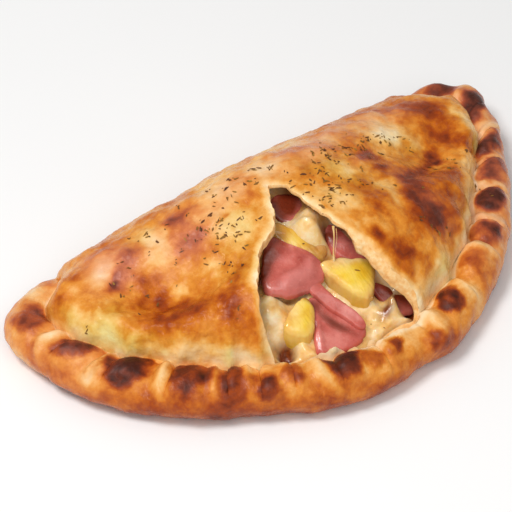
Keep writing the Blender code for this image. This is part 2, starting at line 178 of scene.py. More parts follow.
# Where the dough is sallow, under-baked and a little green, in the same form.
SALLOW_PATCHES = (
    (-98, -46, 9, 6, -50, 1.0), (-87, -63, 12, 5, -42, 1.0), (-60, -88, 14, 4, -32, 1.0),
    (-88, -40, 8, 5, -40, 0.6), (-104, -28, 4, 9, 0, 0.6), (45, -95, 22, 4, 22, 0.9),
    (74, -75, 16, 4, 42, 0.9), (95, -45, 4, 16, -10, 0.9), (-40, -60, 8, 14, 10, 0.6),
    (-30, -44, 7, 10, 0, 0.5), (20, -55, 16, 12, 0, 0.5), (60, -40, 12, 8, 0, 0.4),
    (-60, -18, 8, 6, 0, 0.4), (60, -75, 10, 8, 40, 0.4), (10, -40, 14, 8, 0, 0.5),
)
# Blisters and dents on the dome: x, y, half length, half width, turn and height in mm.
BLISTERS = (
    (-73, -24, 8, 5, 10, 0.9), (-80, -32, 6, 3, 20, 0.6), (-74, -38, 6, 3, 35, 0.7),
    (-67, -49, 5, 5, 0, 0.6), (-75, -58, 9, 5, 60, 0.5), (-66, -68, 5, 6, 0, 0.5),
    (-94, -14, 10, 4, 30, 0.8), (-87, -24, 6, 6, 0, -0.4), (-90, -42, 8, 8, 0, 0.3),
    (-57, -38, 7, 6, 0, 0.5), (-48, -76, 6, 10, 10, 0.6), (-37, -52, 5, 12, 15, -0.4),
    (-30, -22, 9, 6, 0, 0.5), (-59, -58, 5, 9, 0, -0.3), (-45, -28, 8, 6, 0, 0.5),
    (36, -43, 7, 3, 30, 0.6), (47, -62, 9, 5, 55, 0.5), (34, -62, 6, 9, 10, -0.4),
    (19, -88, 8, 6, -20, 0.7), (29, -80, 5, 8, 0, -0.3), (62, -62, 9, 7, 40, 0.4),
    (70, -48, 6, 5, 30, 0.4), (86, -26, 8, 6, -20, 0.6), (12, -30, 10, 5, 0, 0.5),
    (66, -80, 5, 8, 0, -0.3), (6, -58, 8, 5, -30, 0.4), (54, -30, 8, 5, 0, 0.5),
    (44, -82, 7, 6, 0, 0.5), (12, -78, 6, 5, 0, 0.5),
)

# Colours that the dough takes as it bakes, by how brown it is from 0 to 1.
BAKED = (
    (0.00, (252, 228, 184)), (0.14, (250, 209, 148)), (0.29, (242, 183, 104)),
    (0.43, (226, 144, 50)), (0.57, (200, 106, 20)), (0.71, (160, 66, 10)),
    (0.85, (112, 40, 10)), (1.00, (68, 26, 14)),
)

HAM = {
    "ham_left": dict(
        outline=((-0.022, -0.0535), (-0.015, -0.060), (-0.010, -0.067), (-0.0085, -0.0735),
                 (-0.013, -0.0775), (-0.021, -0.0785), (-0.029, -0.0770), (-0.0355, -0.0725),
                 (-0.0345, -0.066), (-0.029, -0.059)),
        lift=0.0060, bulge=0.0022, thickness=0.0040),
    "ham_strip": dict(
        outline=((-0.0200, -0.0775), (-0.0152, -0.0765), (-0.0118, -0.0850), (-0.0084, -0.0925),
                 (-0.0068, -0.0992), (-0.0096, -0.1000), (-0.0134, -0.0935), (-0.0174, -0.0862)),
        lift=0.0052, bulge=0.0008, thickness=0.0022),
    "ham_front": dict(
        outline=((-0.0215, -0.0800), (-0.0150, -0.0830), (-0.0100, -0.0920), (-0.0070, -0.0990),
                 (-0.0120, -0.1025), (-0.0200, -0.1030), (-0.0275, -0.1015), (-0.0312, -0.0990),
                 (-0.0265, -0.0895)),
        lift=0.0030, bulge=0.0002, thickness=0.0032),
    "ham_back": dict(
        outline=((-0.0130, -0.0400), (-0.0060, -0.0375), (0.0015, -0.0400), (0.0035, -0.0460),
                 (0.0005, -0.0520), (-0.0065, -0.0525), (-0.0115, -0.0475)),
        lift=0.0005, bulge=0.0010, thickness=0.0035),
    "ham_right_back": dict(
        outline=((0.0040, -0.0570), (0.0100, -0.0560), (0.0175, -0.0620), (0.0225, -0.0730),
                 (0.0200, -0.0815), (0.0110, -0.0785), (0.0010, -0.0722), (-0.0005, -0.0650)),
        lift=0.0030, bulge=0.0014, thickness=0.0035),
    "ham_right": dict(
        outline=((0.0070, -0.0830), (0.0125, -0.0825), (0.0160, -0.0890), (0.0185, -0.0970),
                 (0.0165, -0.1010), (0.0100, -0.0985), (0.0070, -0.0910)),
        lift=-0.0006, bulge=0.0008, thickness=0.0026),
}
PINEAPPLE = {
    "pineapple_right": dict(
        outline=((-0.0105, -0.0725), (-0.0020, -0.0740), (0.0065, -0.0775), (0.0108, -0.0815),
                 (0.0075, -0.0865), (0.0020, -0.0915), (-0.0020, -0.0920), (-0.0060, -0.0860),
                 (-0.0095, -0.0790)),
        lift=0.0075, bulge=0.0010, thickness=0.0125),
    "pineapple_back": dict(
        outline=((-0.0200, -0.0500), (-0.0150, -0.0490), (-0.0090, -0.0550), (-0.0025, -0.0620),
                 (-0.0020, -0.0670), (-0.0070, -0.0690), (-0.0130, -0.0640), (-0.0190, -0.0570)),
        lift=0.0045, bulge=0.0012, thickness=0.0100),
    "pineapple_front": dict(
        outline=((-0.0228, -0.0800), (-0.0222, -0.0850), (-0.0262, -0.0905), (-0.0310, -0.0935),
                 (-0.0355, -0.0915), (-0.0385, -0.0870), (-0.0350, -0.0835), (-0.0285, -0.0805)),
        lift=0.0062, bulge=0.0012, thickness=0.0110),
}
SLAB_COLUMNS = 150
SLAB_EDGE_ROWS = 14
SLAB_TOP_ROWS = 16

# Mounds and holes in the melted cheese: x, y, half length, half width, turn and height in mm.
CHEESE_MOUNDS = (
    (-37, -78, 6, 8, 0, 5.5), (-1, -56, 7.0, 6.5, -70, 10.5), (-6.5, -61, 7.0, 4.6, -50, 7.0),
    (-9, -55, 4, 4, 0, 2.5), (12.0, -94.0, 4.6, 3.0, 40, 4.2), (8.5, -97, 5.0, 2.4, 45, 3.5),
    (10.5, -82.0, 5.0, 3.0, -52, 6.0), (-33.5, -96, 5, 2.4, -70, 3.6),
    (2, -94, 8, 3, -75, 2.6), (-1, -101, 6, 3, 10, 2.2), (8, -104, 8, 2.5, 0, 3.0),
    (7, -99, 5, 2, -30, 1.8), (8.2, -87.5, 4.0, 2.2, -80, -5.5), (14, -97.5, 7, 2.8, -70, -5.0),
    (-40.5, -90.8, 4.2, 3.4, 25, -6.5), (-28.5, -75, 3, 2, 0, -1.0), (-34, -65, 4, 4, 0, -1.5),
    (3.0, -62, 3.5, 3.5, 0, -4.0), (10, -69, 9, 11, 20, -4.5),
)
# Browned places in the cheese, and painted shade in its holes and under the torn edge, in the same form, from 0 to
# 1.
CHEESE_BROWN_AND_SHADE = (
    (8.5, -87.5, 4.6, 3.0, -80, 1.0), (14, -97.5, 7.0, 3.2, -70, 1.0), (-40.5, -90.8, 4.4, 3.6, 25, 1.2),
    (-28.5, -75, 2.0, 1.6, 0, 0.7), (-34, -63, 6, 4, 0, 1.0), (-3, -42, 10, 7, 0, 1.0),
    (3.5, -62, 4, 4, 0, 1.1), (10, -68, 8, 8, 0, 0.8), (17, -88, 4, 4, 0, 0.5),
    (5.0, -97.2, 3.8, 2.6, 20, 1.0), (9.5, -94.5, 2.2, 2.2, 0, 0.5), (-4, -93, 5, 1.5, -60, 0.3), (14.6, -100.5, 5.5, 3.2, -70, 1.0),
)
# Cheese strands from the torn edge to the filling: start, end, sag and thickness.
STRANDS = (
    ((-0.0020, -0.0702, 0.0482), (-0.0048, -0.0746, 0.0335), 0.0004, 0.00032),
    ((-0.0016, -0.0716, 0.0478), (-0.0046, -0.0750, 0.0335), 0.0006, 0.00010),
)

# Where herbs lie: x, y, half length and half width of the patch in mm, and how many there are.
HERB_PATCHES = (
    (-34, -36, 13, 12, 30), (-44, -48, 14, 14, 16), (-36, -66, 12, 14, 12), (-16, -28, 14, 8, 18),
    (12, -44, 14, 8, 34), (30, -34, 18, 8, 28), (4, -58, 9, 6, 18), (56, -34, 14, 6, 14),
    (24, -60, 12, 10, 10), (60, -60, 16, 12, 8), (-70, -40, 22, 16, 8), (-90, -40, 14, 14, 4),
    (38, -88, 9, 6, 6), (80, -60, 6, 14, 5), (-60, -20, 16, 8, 8),
)
HERBS_ON_FILLING = (
    (1.3, -82.3), (-2.7, -97.5), (0.1, -102.4), (-3.4, -106.0), (-10.5, -62.0),
)

NOISE_TABLE = np.random.default_rng(11).random(8192)


def srgb(colour):
    """A colour given as 0-255 screen values, as the linear colour that shaders use."""
    parts = np.array(colour, float) / 255.0
    linear = np.where(parts <= 0.04045, parts / 12.92, ((parts + 0.055) / 1.055) ** 2.4)
    return (*linear.tolist(), 1.0)


def smooth_step(value):
    value = np.clip(value, 0.0, 1.0)
    return value * value * (3.0 - 2.0 * value)


def lumps(points, size, seed=0):
    """Smooth noise from -1 to 1 with lumps about one size across."""
    points = np.asarray(points, float)
    scaled = points / size
    cell = np.floor(scaled).astype(np.int64)
    part = scaled - cell
    part = part * part * (3.0 - 2.0 * part)
    total = np.zeros(len(points))
    for corner in np.ndindex(*([2] * points.shape[1])):
        key = np.full(len(points), seed * 7919, np.int64)
        weight = np.ones(len(points))
        for axis, side in enumerate(corner):
            key ^= (cell[:, axis] + side) * (73856093, 19349663, 83492791)[axis]
            weight *= part[:, axis] if side else 1.0 - part[:, axis]
        total += NOISE_TABLE[key % len(NOISE_TABLE)] * weight
    return total * 2.0 - 1.0


def fractal(points, size, octaves=3, seed=0):
    return sum(lumps(points, size / 2**k, seed + k) / 2**k for k in range(octaves))


def warped(points, size, reach, seed):
    """Points shifted in X and Y by smooth noise, so that shapes laid out on them look uneven."""
    shift = [reach * fractal(points, size, 2, seed + 5 * k) for k in (0, 1)]
    moved = np.array(points, float)
    moved[:, :2] += np.column_stack(shift)
    return moved


def patches(points, table, sharpness=1.0):
    """Sum of soft oval patches, each given in mm as x, y, half length, half width, turn, amount."""
    total = np.zeros(len(points))
    for x, y, half_length, half_width, turn, amount in table:
        away = points[:, :2] - np.array((x, y)) * MM
        c, s = math.cos(math.radians(turn)), math.sin(math.radians(turn))
        along = (away[:, 0] * c + away[:, 1] * s) / (half_length * MM)
        across = (away[:, 1] * c - away[:, 0] * s) / (half_width * MM)
        total += amount * np.exp(-((along**2 + across**2) ** sharpness))
    return total


def rim_reach(direction):
    """Smooth curve through RIM_REACH."""
    keys, reach = np.array(RIM_REACH).T
    slopes = np.gradient(reach, keys)
    i = np.clip(np.searchsorted(keys, direction, side="right") - 1, 0, len(keys) - 2)
    span = keys[i + 1] - keys[i]
    t = (direction - keys[i]) / span
    start = (2 * t**3 - 3 * t**2 + 1) * reach[i] + (t**3 - 2 * t**2 + t) * span * slopes[i]
    end = (3 * t**2 - 2 * t**3) * reach[i + 1] + (t**3 - t**2) * span * slopes[i + 1]
    return start + end


def crimp_places(direction):
    """Place in the crimp, 0 at its folded-over edge and 1 where the next one starts."""
    places = []
    for edges in (LEFT_CRIMPS, RIGHT_CRIMPS):
        edges = np.array(edges, float)
        i = np.clip(np.searchsorted(edges, direction, side="right") - 1, 0, len(edges) - 2)
        places.append(np.clip((direction - edges[i]) / (edges[i + 1] - edges[i]), 0.0, 1.0))
    return np.where(direction < RUNS_MEET, places[0], 1.0 - places[1])


class Plan:
    """The outline seen from above, and for each of its points the way in to the crown."""

    def __init__(self, rim_columns, fold_columns):
        first, last = RIM_REACH[0][0], RIM_REACH[-1][0]
        directions = np.linspace(first, last, rim_columns)
        reach = rim_reach(directions)
        angle = np.radians(directions)
        rim = np.column_stack((reach * np.cos(angle), reach * np.sin(angle)))
        t = np.linspace(0.0, 1.0, fold_columns + 2)[1:-1]
        fold = rim[-1] + (rim[0] - rim[-1]) * t[:, None]
        fold[:, 1] += FOLD_BULGE * 4.0 * t * (1.0 - t)
        ends = np.array((rim[0], rim[-1]))
        to_end = np.linalg.norm(fold[:, None] - ends[None], axis=2).min(axis=1)
        self.points = np.vstack((rim, fold))
        self.rimness = np.concatenate((np.ones(len(rim)), 1.0 - smooth_step(to_end / FOLD_BLEND)))
        self.directions = np.concatenate((directions, np.linspace(last, first + 360, fold_columns)))
        self.places = crimp_places(self.directions)
        direction, half_width, extra = BROAD_LEFT_RIM
        self.rim_width = RIM_WIDTH + extra * np.exp(
            -(((self.directions - direction) / half_width) ** 4))
        direction, reach, drop = LOW_LEFT_END
        left_end = self.directions < 200.0
        self.rim_height = RIM_HEIGHT * (
            1.0 - drop * left_end * smooth_step((direction - self.directions) / reach))
        self.places[len(rim):] = 0.5
        turn = np.arctan2((self.points[:, 1] - CROWN_Y) / HALF_DEPTH,
                          self.points[:, 0] / HALF_LENGTH)
        crown = np.column_stack((CROWN_HALF_LENGTH * np.cos(turn),
                                 CROWN_Y + CROWN_HALF_WIDTH * np.sin(turn)))
        inward = crown - self.points
        self.depth = np.linalg.norm(inward, axis=1)
        self.inward = inward / self.depth[:, None]

    def at(self, shift):
        return self.points + self.inward * np.asarray(shift)[:, None]

    def section(self, angle, crimped=True):
        """Shift inwards and height of the rim's rolled section, blended into the fold's edge."""
        arch = np.sin(np.pi * self.places) ** 0.7
        edge = smooth_step(self.places / 0.07) * smooth_step((1.0 - self.places) / 0.05)
        saw = edge * ((1.0 - self.places) ** 1.2 - 0.45) - 0.9 * (1.0 - edge)
        on_top = float(smooth_step((angle + 0.3) / 1.6))
        width = self.rim_width + crimped * LIP_REACH * arch
        height = self.rim_height + crimped * CRIMP_LIFT * saw * on_top
        rim_in = 0.5 * width * (1.0 - math.cos(angle))
        rim_up = 0.5 * height * (1.0 + math.sin(angle))
        part = (angle + math.pi / 2) / (math.radians(CREASE_ANGLE) + math.pi / 2)
        fold_in = FOLD_EDGE_INSET * (1.0 - math.sin(min(part * 1.6, 1.0) * math.pi / 2))
        fold_up = FOLD_EDGE_HEIGHT * part
        shift = self.rimness * rim_in + (1.0 - self.rimness) * fold_in
        return shift, self.rimness * rim_up + (1.0 - self.rimness) * fold_up

    def dome_height(self, shift, crimped=True):
        """Height of the dough's outer surface at a shift inwards from the outline."""
        crease_in, crimped_up = self.section(math.radians(CREASE_ANGLE), crimped)
        crease_up = self.section(math.radians(CREASE_ANGLE), crimped=False)[1]
        s = np.clip((shift - crease_in) / (self.depth - crease_in), 0.0, 1.0)
        plan = self.at(shift)
        crown_up = DOME_HEIGHT * (1.0 - END_DROP * (plan[:, 0] / CROWN_HALF_LENGTH) ** 2 * s)
        front = (1.0 - (1.0 - s) ** FRONT_SHAPE[0]) ** FRONT_SHAPE[1]
        back = (1.0 - (1.0 - s) ** BACK_SHAPE[0]) ** BACK_SHAPE[1]
        rise = self.rimness * front + (1.0 - self.rimness) * back
        crimp = (crimped_up - crease_up) * (1.0 - smooth_step(s / CRIMP_FADE))
        return crease_up + (crown_up - crease_up) * rise + crimp


def closing_rings(ring, count, height):
    """Rings that narrow an oval round the crown's line down to almost nothing."""
    rings = []
    for step in range(1, count + 1):
        flat = ring[:, :2].copy()
        flat[:, 1] = CROWN_Y + (flat[:, 1] - CROWN_Y) * (1.0 - 0.97 * step / count)
        rings.append(np.column_stack((flat, height(flat))))
    return rings


def crown_height(flat):
    return DOME_HEIGHT * (1.0 - END_DROP * (flat[:, 0] / CROWN_HALF_LENGTH) ** 2)


def strip_across(loop_points, first_index):
    """Triangles that close a loop which is long in X and thin in Y."""
    count = len(loop_points)
    x = loop_points[:, 0]
    left, right = int(np.argmin(x)), int(np.argmax(x))
    front = [(left + k) % count for k in range((right - left) % count + 1)]
    back = [(left - k) % count for k in range((left - right) % count + 1)]
    faces = [(front[0], front[1], back[1])]
    i = j = 1
    while (i, j) != (len(front) - 2, len(back) - 2):
        in_front = x[front[i + 1]] <= x[back[j + 1]]
        if j == len(back) - 2 or (in_front and i < len(front) - 2):
            faces.append((front[i], front[i + 1], back[j]))
            i += 1
        else:
            faces.append((front[i], back[j + 1], back[j]))
            j += 1
    faces.append((front[-2], front[-1], back[-2]))
    return [tuple(first_index + k for k in face) for face in faces]


def ring_faces(rows, columns):
    """Quads between closed rings of points, counted row by row."""
    row, column = np.meshgrid(np.arange(rows - 1), np.arange(columns), indexing="ij")
    beside = (column + 1) % columns
    lower, upper = row * columns, (row + 1) * columns
    corners = (lower + column, lower + beside, upper + beside, upper + column)
    return np.stack(corners, axis=-1).reshape(-1, 4).tolist()


def ring_normals(grid):
    """Outward normals of a grid of closed rings."""
    along = np.roll(grid, -1, axis=1) - np.roll(grid, 1, axis=1)
    up = np.gradient(grid, axis=0)
    normal = np.cross(along, up)
    return normal / np.maximum(np.linalg.norm(normal, axis=2, keepdims=True), 1e-12)


def new_object(name, points, faces):
    mesh = bpy.data.meshes.new(name)
    mesh.from_pydata(np.asarray(points).tolist(), [], faces)
    mesh.validate()
    mesh.update()
    made = bpy.data.objects.new(name, mesh)
    bpy.context.scene.collection.objects.link(made)
    return made


def closed_faces(grid, thin_ends=True):
    """Faces of a grid of rings, with its first and last ring closed across."""
    rows, columns = grid.shape[:2]
    faces = ring_faces(rows, columns)
    last = (rows - 1) * columns
    if thin_ends:
        faces += strip_across(grid[-1], last)
        faces += [face[::-1] for face in strip_across(grid[0], 0)]
    else:
        faces.append(list(range(columns))[::-1])
        faces.append(list(range(last, last + columns)))
    return faces


def ring_object(name, grid, thin_ends=True):
    """A closed body from a grid of rings, whose first and last ring are closed across."""
    return new_object(name, grid.reshape(-1, 3), closed_faces(grid, thin_ends))


def subtract(target, tools):
    """Cuts the tools out of the target for good, and deletes them."""
    for tool in tools:
        modifier = target.modifiers.new(tool.name, "BOOLEAN")
        modifier.operation = "DIFFERENCE"
        modifier.solver = "MANIFOLD"
        modifier.object = tool
    evaluated = target.evaluated_get(bpy.context.evaluated_depsgraph_get())
    target.data = bpy.data.meshes.new_from_object(evaluated)
    target.modifiers.clear()
    for tool in tools:
        bpy.data.objects.remove(tool)


def vertex_array(mesh):
    flat = np.empty(len(mesh.vertices) * 3)
    mesh.vertices.foreach_get("co", flat)
    return flat.reshape(-1, 3)


def set_vertices(mesh, points):
    mesh.vertices.foreach_set("co", np.asarray(points, float).ravel())
    mesh.update()


def set_attribute(mesh, name, values):
    layer = mesh.attributes.new(name, "FLOAT", "POINT")
    layer.data.foreach_set("value", np.asarray(values, np.float32))


def smooth_shading(mesh, sharp_angle):
    mesh.shade_smooth()
    mesh.set_sharp_from_angle(angle=math.radians(sharp_angle))


def outline_walk(corners, step):
    """Evenly spread points on the smooth closed curve through the corners."""
    corners = np.array(corners)
    before, after = np.roll(corners, 1, axis=0), np.roll(corners, -1, axis=0)
    beyond = np.roll(corners, -2, axis=0)
    fine = []
    for p0, p1, p2, p3 in zip(before, corners, after, beyond):
        for t in np.linspace(0.0, 1.0, 12, endpoint=False):
            fine.append(0.5 * (2 * p1 + (p2 - p0) * t + (2 * p0 - 5 * p1 + 4 * p2 - p3) * t**2
                               + (3 * p1 - p0 - 3 * p2 + p3) * t**3))
    fine = np.array(fine + fine[:1])
    walked = np.concatenate(([0.0], np.cumsum(np.linalg.norm(np.diff(fine, axis=0), axis=1))))
    count = step if isinstance(step, int) else int(round(walked[-1] / step))
    wanted = np.linspace(0.0, walked[-1], count, endpoint=False)
    loop = np.column_stack([np.interp(wanted, walked, fine[:, k]) for k in (0, 1)])
    x, y = loop.T
    turns_left = np.sum(x * np.roll(y, -1) - y * np.roll(x, -1)) > 0
    return loop if turns_left else loop[::-1]


def outward(loop):
    """Unit vectors that point out of an anticlockwise loop."""
    along = np.roll(loop, -1, axis=0) - np.roll(loop, 1, axis=0)
    normal = np.column_stack((along[:, 1], -along[:, 0]))
    return normal / np.linalg.norm(normal, axis=1, keepdims=True)


def edge_distance(points, outline):
    """Distance to a closed outline, negative inside it."""
    corners = np.array(outline)
    nexts = np.roll(corners, -1, axis=0)
    inside = np.zeros(len(points), bool)
    nearest = np.full(len(points), np.inf)
    for a, b in zip(corners, nexts):
        along = b - a
        t = np.clip((points - a) @ along / (along @ along), 0.0, 1.0)
        nearest = np.minimum(nearest, np.linalg.norm(points - a - t[:, None] * along, axis=1))
        crosses = (a[1] > points[:, 1]) != (b[1] > points[:, 1])
        reach = (b[0] - a[0]) * (points[:, 1] - a[1]) / (b[1] - a[1] + 1e-12) + a[0]
        inside ^= crosses & (points[:, 0] < reach)
    return np.where(inside, -nearest, nearest)


def soften_crown_ends(grid):
    """Evens out the heights round the crown's two ends, where differently steep slopes meet."""
    surface = BVHTree.FromPolygons(grid.reshape(-1, 3).tolist(), closed_faces(grid))
    offsets = np.linspace(-0.027, 0.027, 37)
    for side in (-1, 1):
        middle = np.array((side * CROWN_HALF_LENGTH, CROWN_Y))
        heights = np.zeros((len(offsets), len(offsets)))
        for i, j in np.ndindex(heights.shape):
            start = Vector((middle[0] + offsets[i], middle[1] + offsets[j], 0.2))
            hit = surface.ray_cast(start, Vector((0, 0, -1)))[0]
            heights[i, j] = hit.z if hit else 0.0
        for _ in range(14):
            for axis in (0, 1):
                wide = np.concatenate((heights.take([0], axis), heights, heights.take([-1], axis)),
                                      axis)
                lower, upper = np.arange(len(offsets)), np.arange(len(offsets)) + 2
                heights = 0.5 * heights + 0.25 * (wide.take(lower, axis) + wide.take(upper, axis))
        away = grid[..., :2] - middle
        weight = np.exp(-((np.linalg.norm(away, axis=-1) / 0.017) ** 4))
        near = (weight > 0.01) & (grid[..., 2] > 0.010)
        spot = np.clip((away[near] - offsets[0]) / (offsets[1] - offsets[0]), 0, len(offsets) - 1.01)
        i, j = spot.astype(int).T
        u, v = (spot - spot.astype(int)).T
        even = (heights[i, j] * (1 - u) * (1 - v) + heights[i + 1, j] * u * (1 - v)
                + heights[i, j + 1] * (1 - u) * v + heights[i + 1, j + 1] * u * v)
        grid[near, 2] += weight[near] * (even - grid[near, 2])


def round_corners(grid, plan, times=60):
    """Rounds the dough where the crimped rim meets the straight fold."""
    joints = plan.points[[0, int(np.argmax(plan.directions >= RIM_REACH[-1][0]))]]
    away = np.linalg.norm(plan.points[:, None] - joints[None], axis=2).min(axis=1)
    nearness = np.exp(-((away / 0.012) ** 2))[None, :, None]
    for _ in range(times):
        beside = 0.5 * (np.roll(grid, 1, axis=1) + np.roll(grid, -1, axis=1))
        grid += 0.5 * nearness * (beside - grid)


def ridge_lines(directions, angles):
    """The folded-over edges' nearness from 0 to 1, and the side groove that each overlaps."""
    ridge, groove = np.zeros(directions.shape), np.zeros(directions.shape)
    climb = smooth_step((angles + 10.0) / 95.0)
    for foot, top, half_width, amount in RIDGES:
        away = (directions - (foot + (top - foot) * climb)) / half_width
        side = -1.0 if foot < RUNS_MEET else 1.0
        ridge = np.maximum(ridge, amount * np.exp(-(away**2)))
        groove = np.maximum(groove, amount * np.exp(-(((away - 1.9 * side) / 1.0) ** 2)))
    return ridge, groove


def crimp_relief(directions, angles):
    """How far the rim's crimps stand out: puffed middles between thin folded-over edges."""
    puff = np.zeros(directions.shape)
    for direction, angle, half_width, half_height, _ in CRIMPS:
        away = (directions - direction) / half_width, (angles - angle) / (0.75 * half_height)
        puff = np.maximum(puff, 0.0019 * np.exp(-(away[0] ** 2) - away[1] ** 2))
    ridge, groove = ridge_lines(directions, angles)
    climb = smooth_step((angles - 5.0) / 60.0) * smooth_step((150.0 - angles) / 16.0)
    peak = 1.0 + 1.0 * np.exp(-(((angles - 108.0) / 18.0) ** 2))
    return puff + (0.0013 * ridge * peak - 0.0013 * groove) * climb


def crimp_brown(directions, angles):
    """How much browner the rim's crimps are than its walls."""
    brown = np.zeros(directions.shape)
    for direction, angle, half_width, half_height, amount in CRIMPS:
        away = (directions - direction) / half_width, (angles - angle) / half_height
        brown = np.maximum(brown, amount * np.exp(-((away[0] ** 2 + away[1] ** 2) ** 1.8)))
    return brown


def make_crust():
    """The dough's outer surface with its relief and browning, hollowed out and torn open."""
    plan = Plan(RIM_COLUMNS, FOLD_COLUMNS)
    columns = len(plan.points)
    rings, angles = [], []
    for angle in np.linspace(-90.0, CREASE_ANGLE, SECTION_ROWS):
        shift, up = plan.section(math.radians(angle))
        rings.append(np.column_stack((plan.at(shift), up)))
        angles.append(angle)
    base = rings[0]
    under = [base * (1.0, 1.0, 0.0)]
    line = plan.at(plan.depth)
    for step in range(1, BASE_ROWS + 1):
        flat = base[:, :2] + (line - base[:, :2]) * (step / BASE_ROWS) ** 0.8
        under.append(np.column_stack((flat, np.zeros(columns))))
    under += closing_rings(under[-1], 2, lambda flat: np.zeros(len(flat)))
    crease_in = shift
    for step in range(1, DOME_ROWS + 1):
        share = (step / DOME_ROWS) ** 1.25
        shift = crease_in + (plan.depth - crease_in) * share
        rings.append(np.column_stack((plan.at(shift), plan.dome_height(shift))))
        angles.append(CREASE_ANGLE + 60.0 * share)
    rings += closing_rings(rings[-1], CROWN_ROWS, crown_height)
    angles += [CREASE_ANGLE + 60.0] * CROWN_ROWS
    rings = under[:0:-1] + rings
    angles = [-90.0] * (len(under) - 1) + angles
    grid = np.array(rings)
    round_corners(grid, plan)
    soften_crown_ends(grid)
    angles = np.repeat(np.array(angles)[:, None], columns, axis=1)
    directions = np.repeat(plan.directions[None], len(rings), axis=0)
    rimness = np.repeat(plan.rimness[None], len(rings), axis=0)

    flat = grid.reshape(-1, 3)
    shape = grid.shape[:2]
    dome = smooth_step((angles - CREASE_ANGLE + 4.0) / 8.0) * rimness
    dome += (1.0 - rimness) * smooth_step((angles + 40.0) / 60.0)
    rim = rimness * smooth_step((angles + 60.0) / 30.0) * (1.0 - dome)
    relief = rim * crimp_relief(directions, angles)
    relief += dome * patches(flat, BLISTERS).reshape(shape) * MM
    rough = fractal(flat, 0.014, 4, seed=1).reshape(shape)
    fine = fractal(flat, 0.0045, 3, seed=5).reshape(shape)
    relief += dome * (0.00070 * rough + 0.00052 * fine) + rim * (0.00070 * rough + 0.00042 * fine)
    grid = grid + ring_normals(grid) * relief[..., None]
    grid[..., 2] = np.maximum(grid[..., 2], 0.0)

    baked = baking(flat, directions, angles, rim, dome)
    outer = ring_object("baked_crust", grid)
    surface = BVHTree.FromPolygons(grid.reshape(-1, 3).tolist(), closed_faces(grid))
    subtract(outer, [cavity_tool(), tear_tool(surface)])
    finish_crust(outer, surface, grid, *baked)
    return outer, surface


def baking(flat, directions, angles, rim, dome):
    """How brown each point of the dough's surface is, how much rosier it is with a painted sheen, and how sallow.
    """
    shape = angles.shape
    broad = fractal(flat, 0.020, 3, seed=20).reshape(shape)
    middling = fractal(flat, 0.008, 3, seed=26).reshape(shape)
    small = fractal(flat, 0.0035, 2, seed=30).reshape(shape)
    uneven = warped(flat, 0.007, 0.0022, seed=90)
    astray = fractal(flat, 0.006, 3, seed=95).reshape(shape)
    stray = fractal(flat, 0.006, 3, seed=99).reshape(shape)
    mottled = 0.12 * broad + 0.11 * middling + 0.05 * small
    wall = 0.60 + 0.14 * smooth_step((5.0 - angles) / 50.0) + mottled
    wall += 0.06 * np.exp(-(((directions - 234.0) / 26.0) ** 4))
    wall -= 0.08 * smooth_step((directions - 262.0) / 14.0)
    wall -= 0.16 * smooth_step((214.0 - directions) / 20.0)
    brown = crimp_brown(directions + 1.5 * astray, angles + 10.0 * stray)
    brown = brown * (1.0 + 0.24 * middling + 0.12 * small)
    ridge, _ = ridge_lines(directions + 0.6 * astray, angles)
    on_top = smooth_step((angles - 84.0) / 18.0)
    pale = 0.30 * ridge * smooth_step((angles - 5.0) / 50.0)
    pale += 0.34 * smooth_step((angles - 121.0) / 8.0)
    for direction, half_width, amount in PALE_TOPS:
        pale += amount * np.exp(-(((directions - direction) / half_width) ** 2)) * on_top
    on_rim = np.maximum(wall - 0.09 * smooth_step((angles - 20.0) / 50.0), brown) - pale
    on_dome = 0.44 + 1.1 * patches(uneven, DOME_PATCHES).reshape(shape) + mottled
    near_crease = np.exp(-(((angles - CREASE_ANGLE) / 5.0) ** 2))
    on_dome -= 0.16 * near_crease * smooth_step(-flat[:, 1].reshape(shape) / 0.012)
    on_dome += 0.16 * smooth_step((0.012 - flat[:, 2].reshape(shape)) / 0.012 + 0.3 * middling)
    base = 0.66 + mottled
    bake = rim * on_rim + dome * on_dome + (1.0 - rim - dome) * base
    on_right = smooth_step((directions - 290.0) / 25.0)
    on_left = smooth_step((218.0 - directions) / 16.0)
    rosy_and_sheen = dome * patches(uneven, ROSY_AND_SHEEN_PATCHES).reshape(shape)
    rosy_and_sheen += rim * (0.12 + 0.22 * on_left + 0.45 * on_right)
    sallow = (1.0 - rim) * patches(uneven, SALLOW_PATCHES).reshape(shape) * (1.0 + middling)
    sallow += 0.35 * rim * smooth_step((10.0 - angles) / 50.0) * (1.0 + 1.5 * broad)
    return [np.clip(part, 0.0, 1.0) for part in (bake, rosy_and_sheen, sallow)]


def cavity_surface(plan, gap=0.0, surface=None, rows=16, crown_rows=4):
    """The space inside the dough, smaller all round by a gap, under a surface if one is given."""
    fold_start = FOLD_EDGE_INSET + WALL_INSET
    start = plan.rimness * (plan.rim_width - 0.001) + (1.0 - plan.rimness) * fold_start + gap
    end = plan.depth
    low = np.column_stack((plan.at(start), np.full(len(start), FLOOR + gap)))
    line = np.column_stack((plan.at(end), np.full(len(start), FLOOR + gap)))
    rings = [low + (line - low) * share for share in (0.92, 0.75, 0.5, 0.25, 0.0)]
    rings = closing_rings(line, 2, lambda flat: np.full(len(flat), FLOOR + gap))[::-1] + rings
    for step in range(rows + 1):
        shift = start + (end - start) * (step / rows) ** 1.1
        up = plan.dome_height(shift - WALL_INSET - gap, crimped=False) - WALL - gap
        flat = plan.at(shift)
        if surface is not None:
            up = surface(flat, up)
        rings.append(np.column_stack((flat, up)))

    def top(flat):
        up = crown_height(flat) - WALL - gap
        return up if surface is None else surface(flat, up)

    return np.array(rings + closing_rings(rings[-1], crown_rows, top))


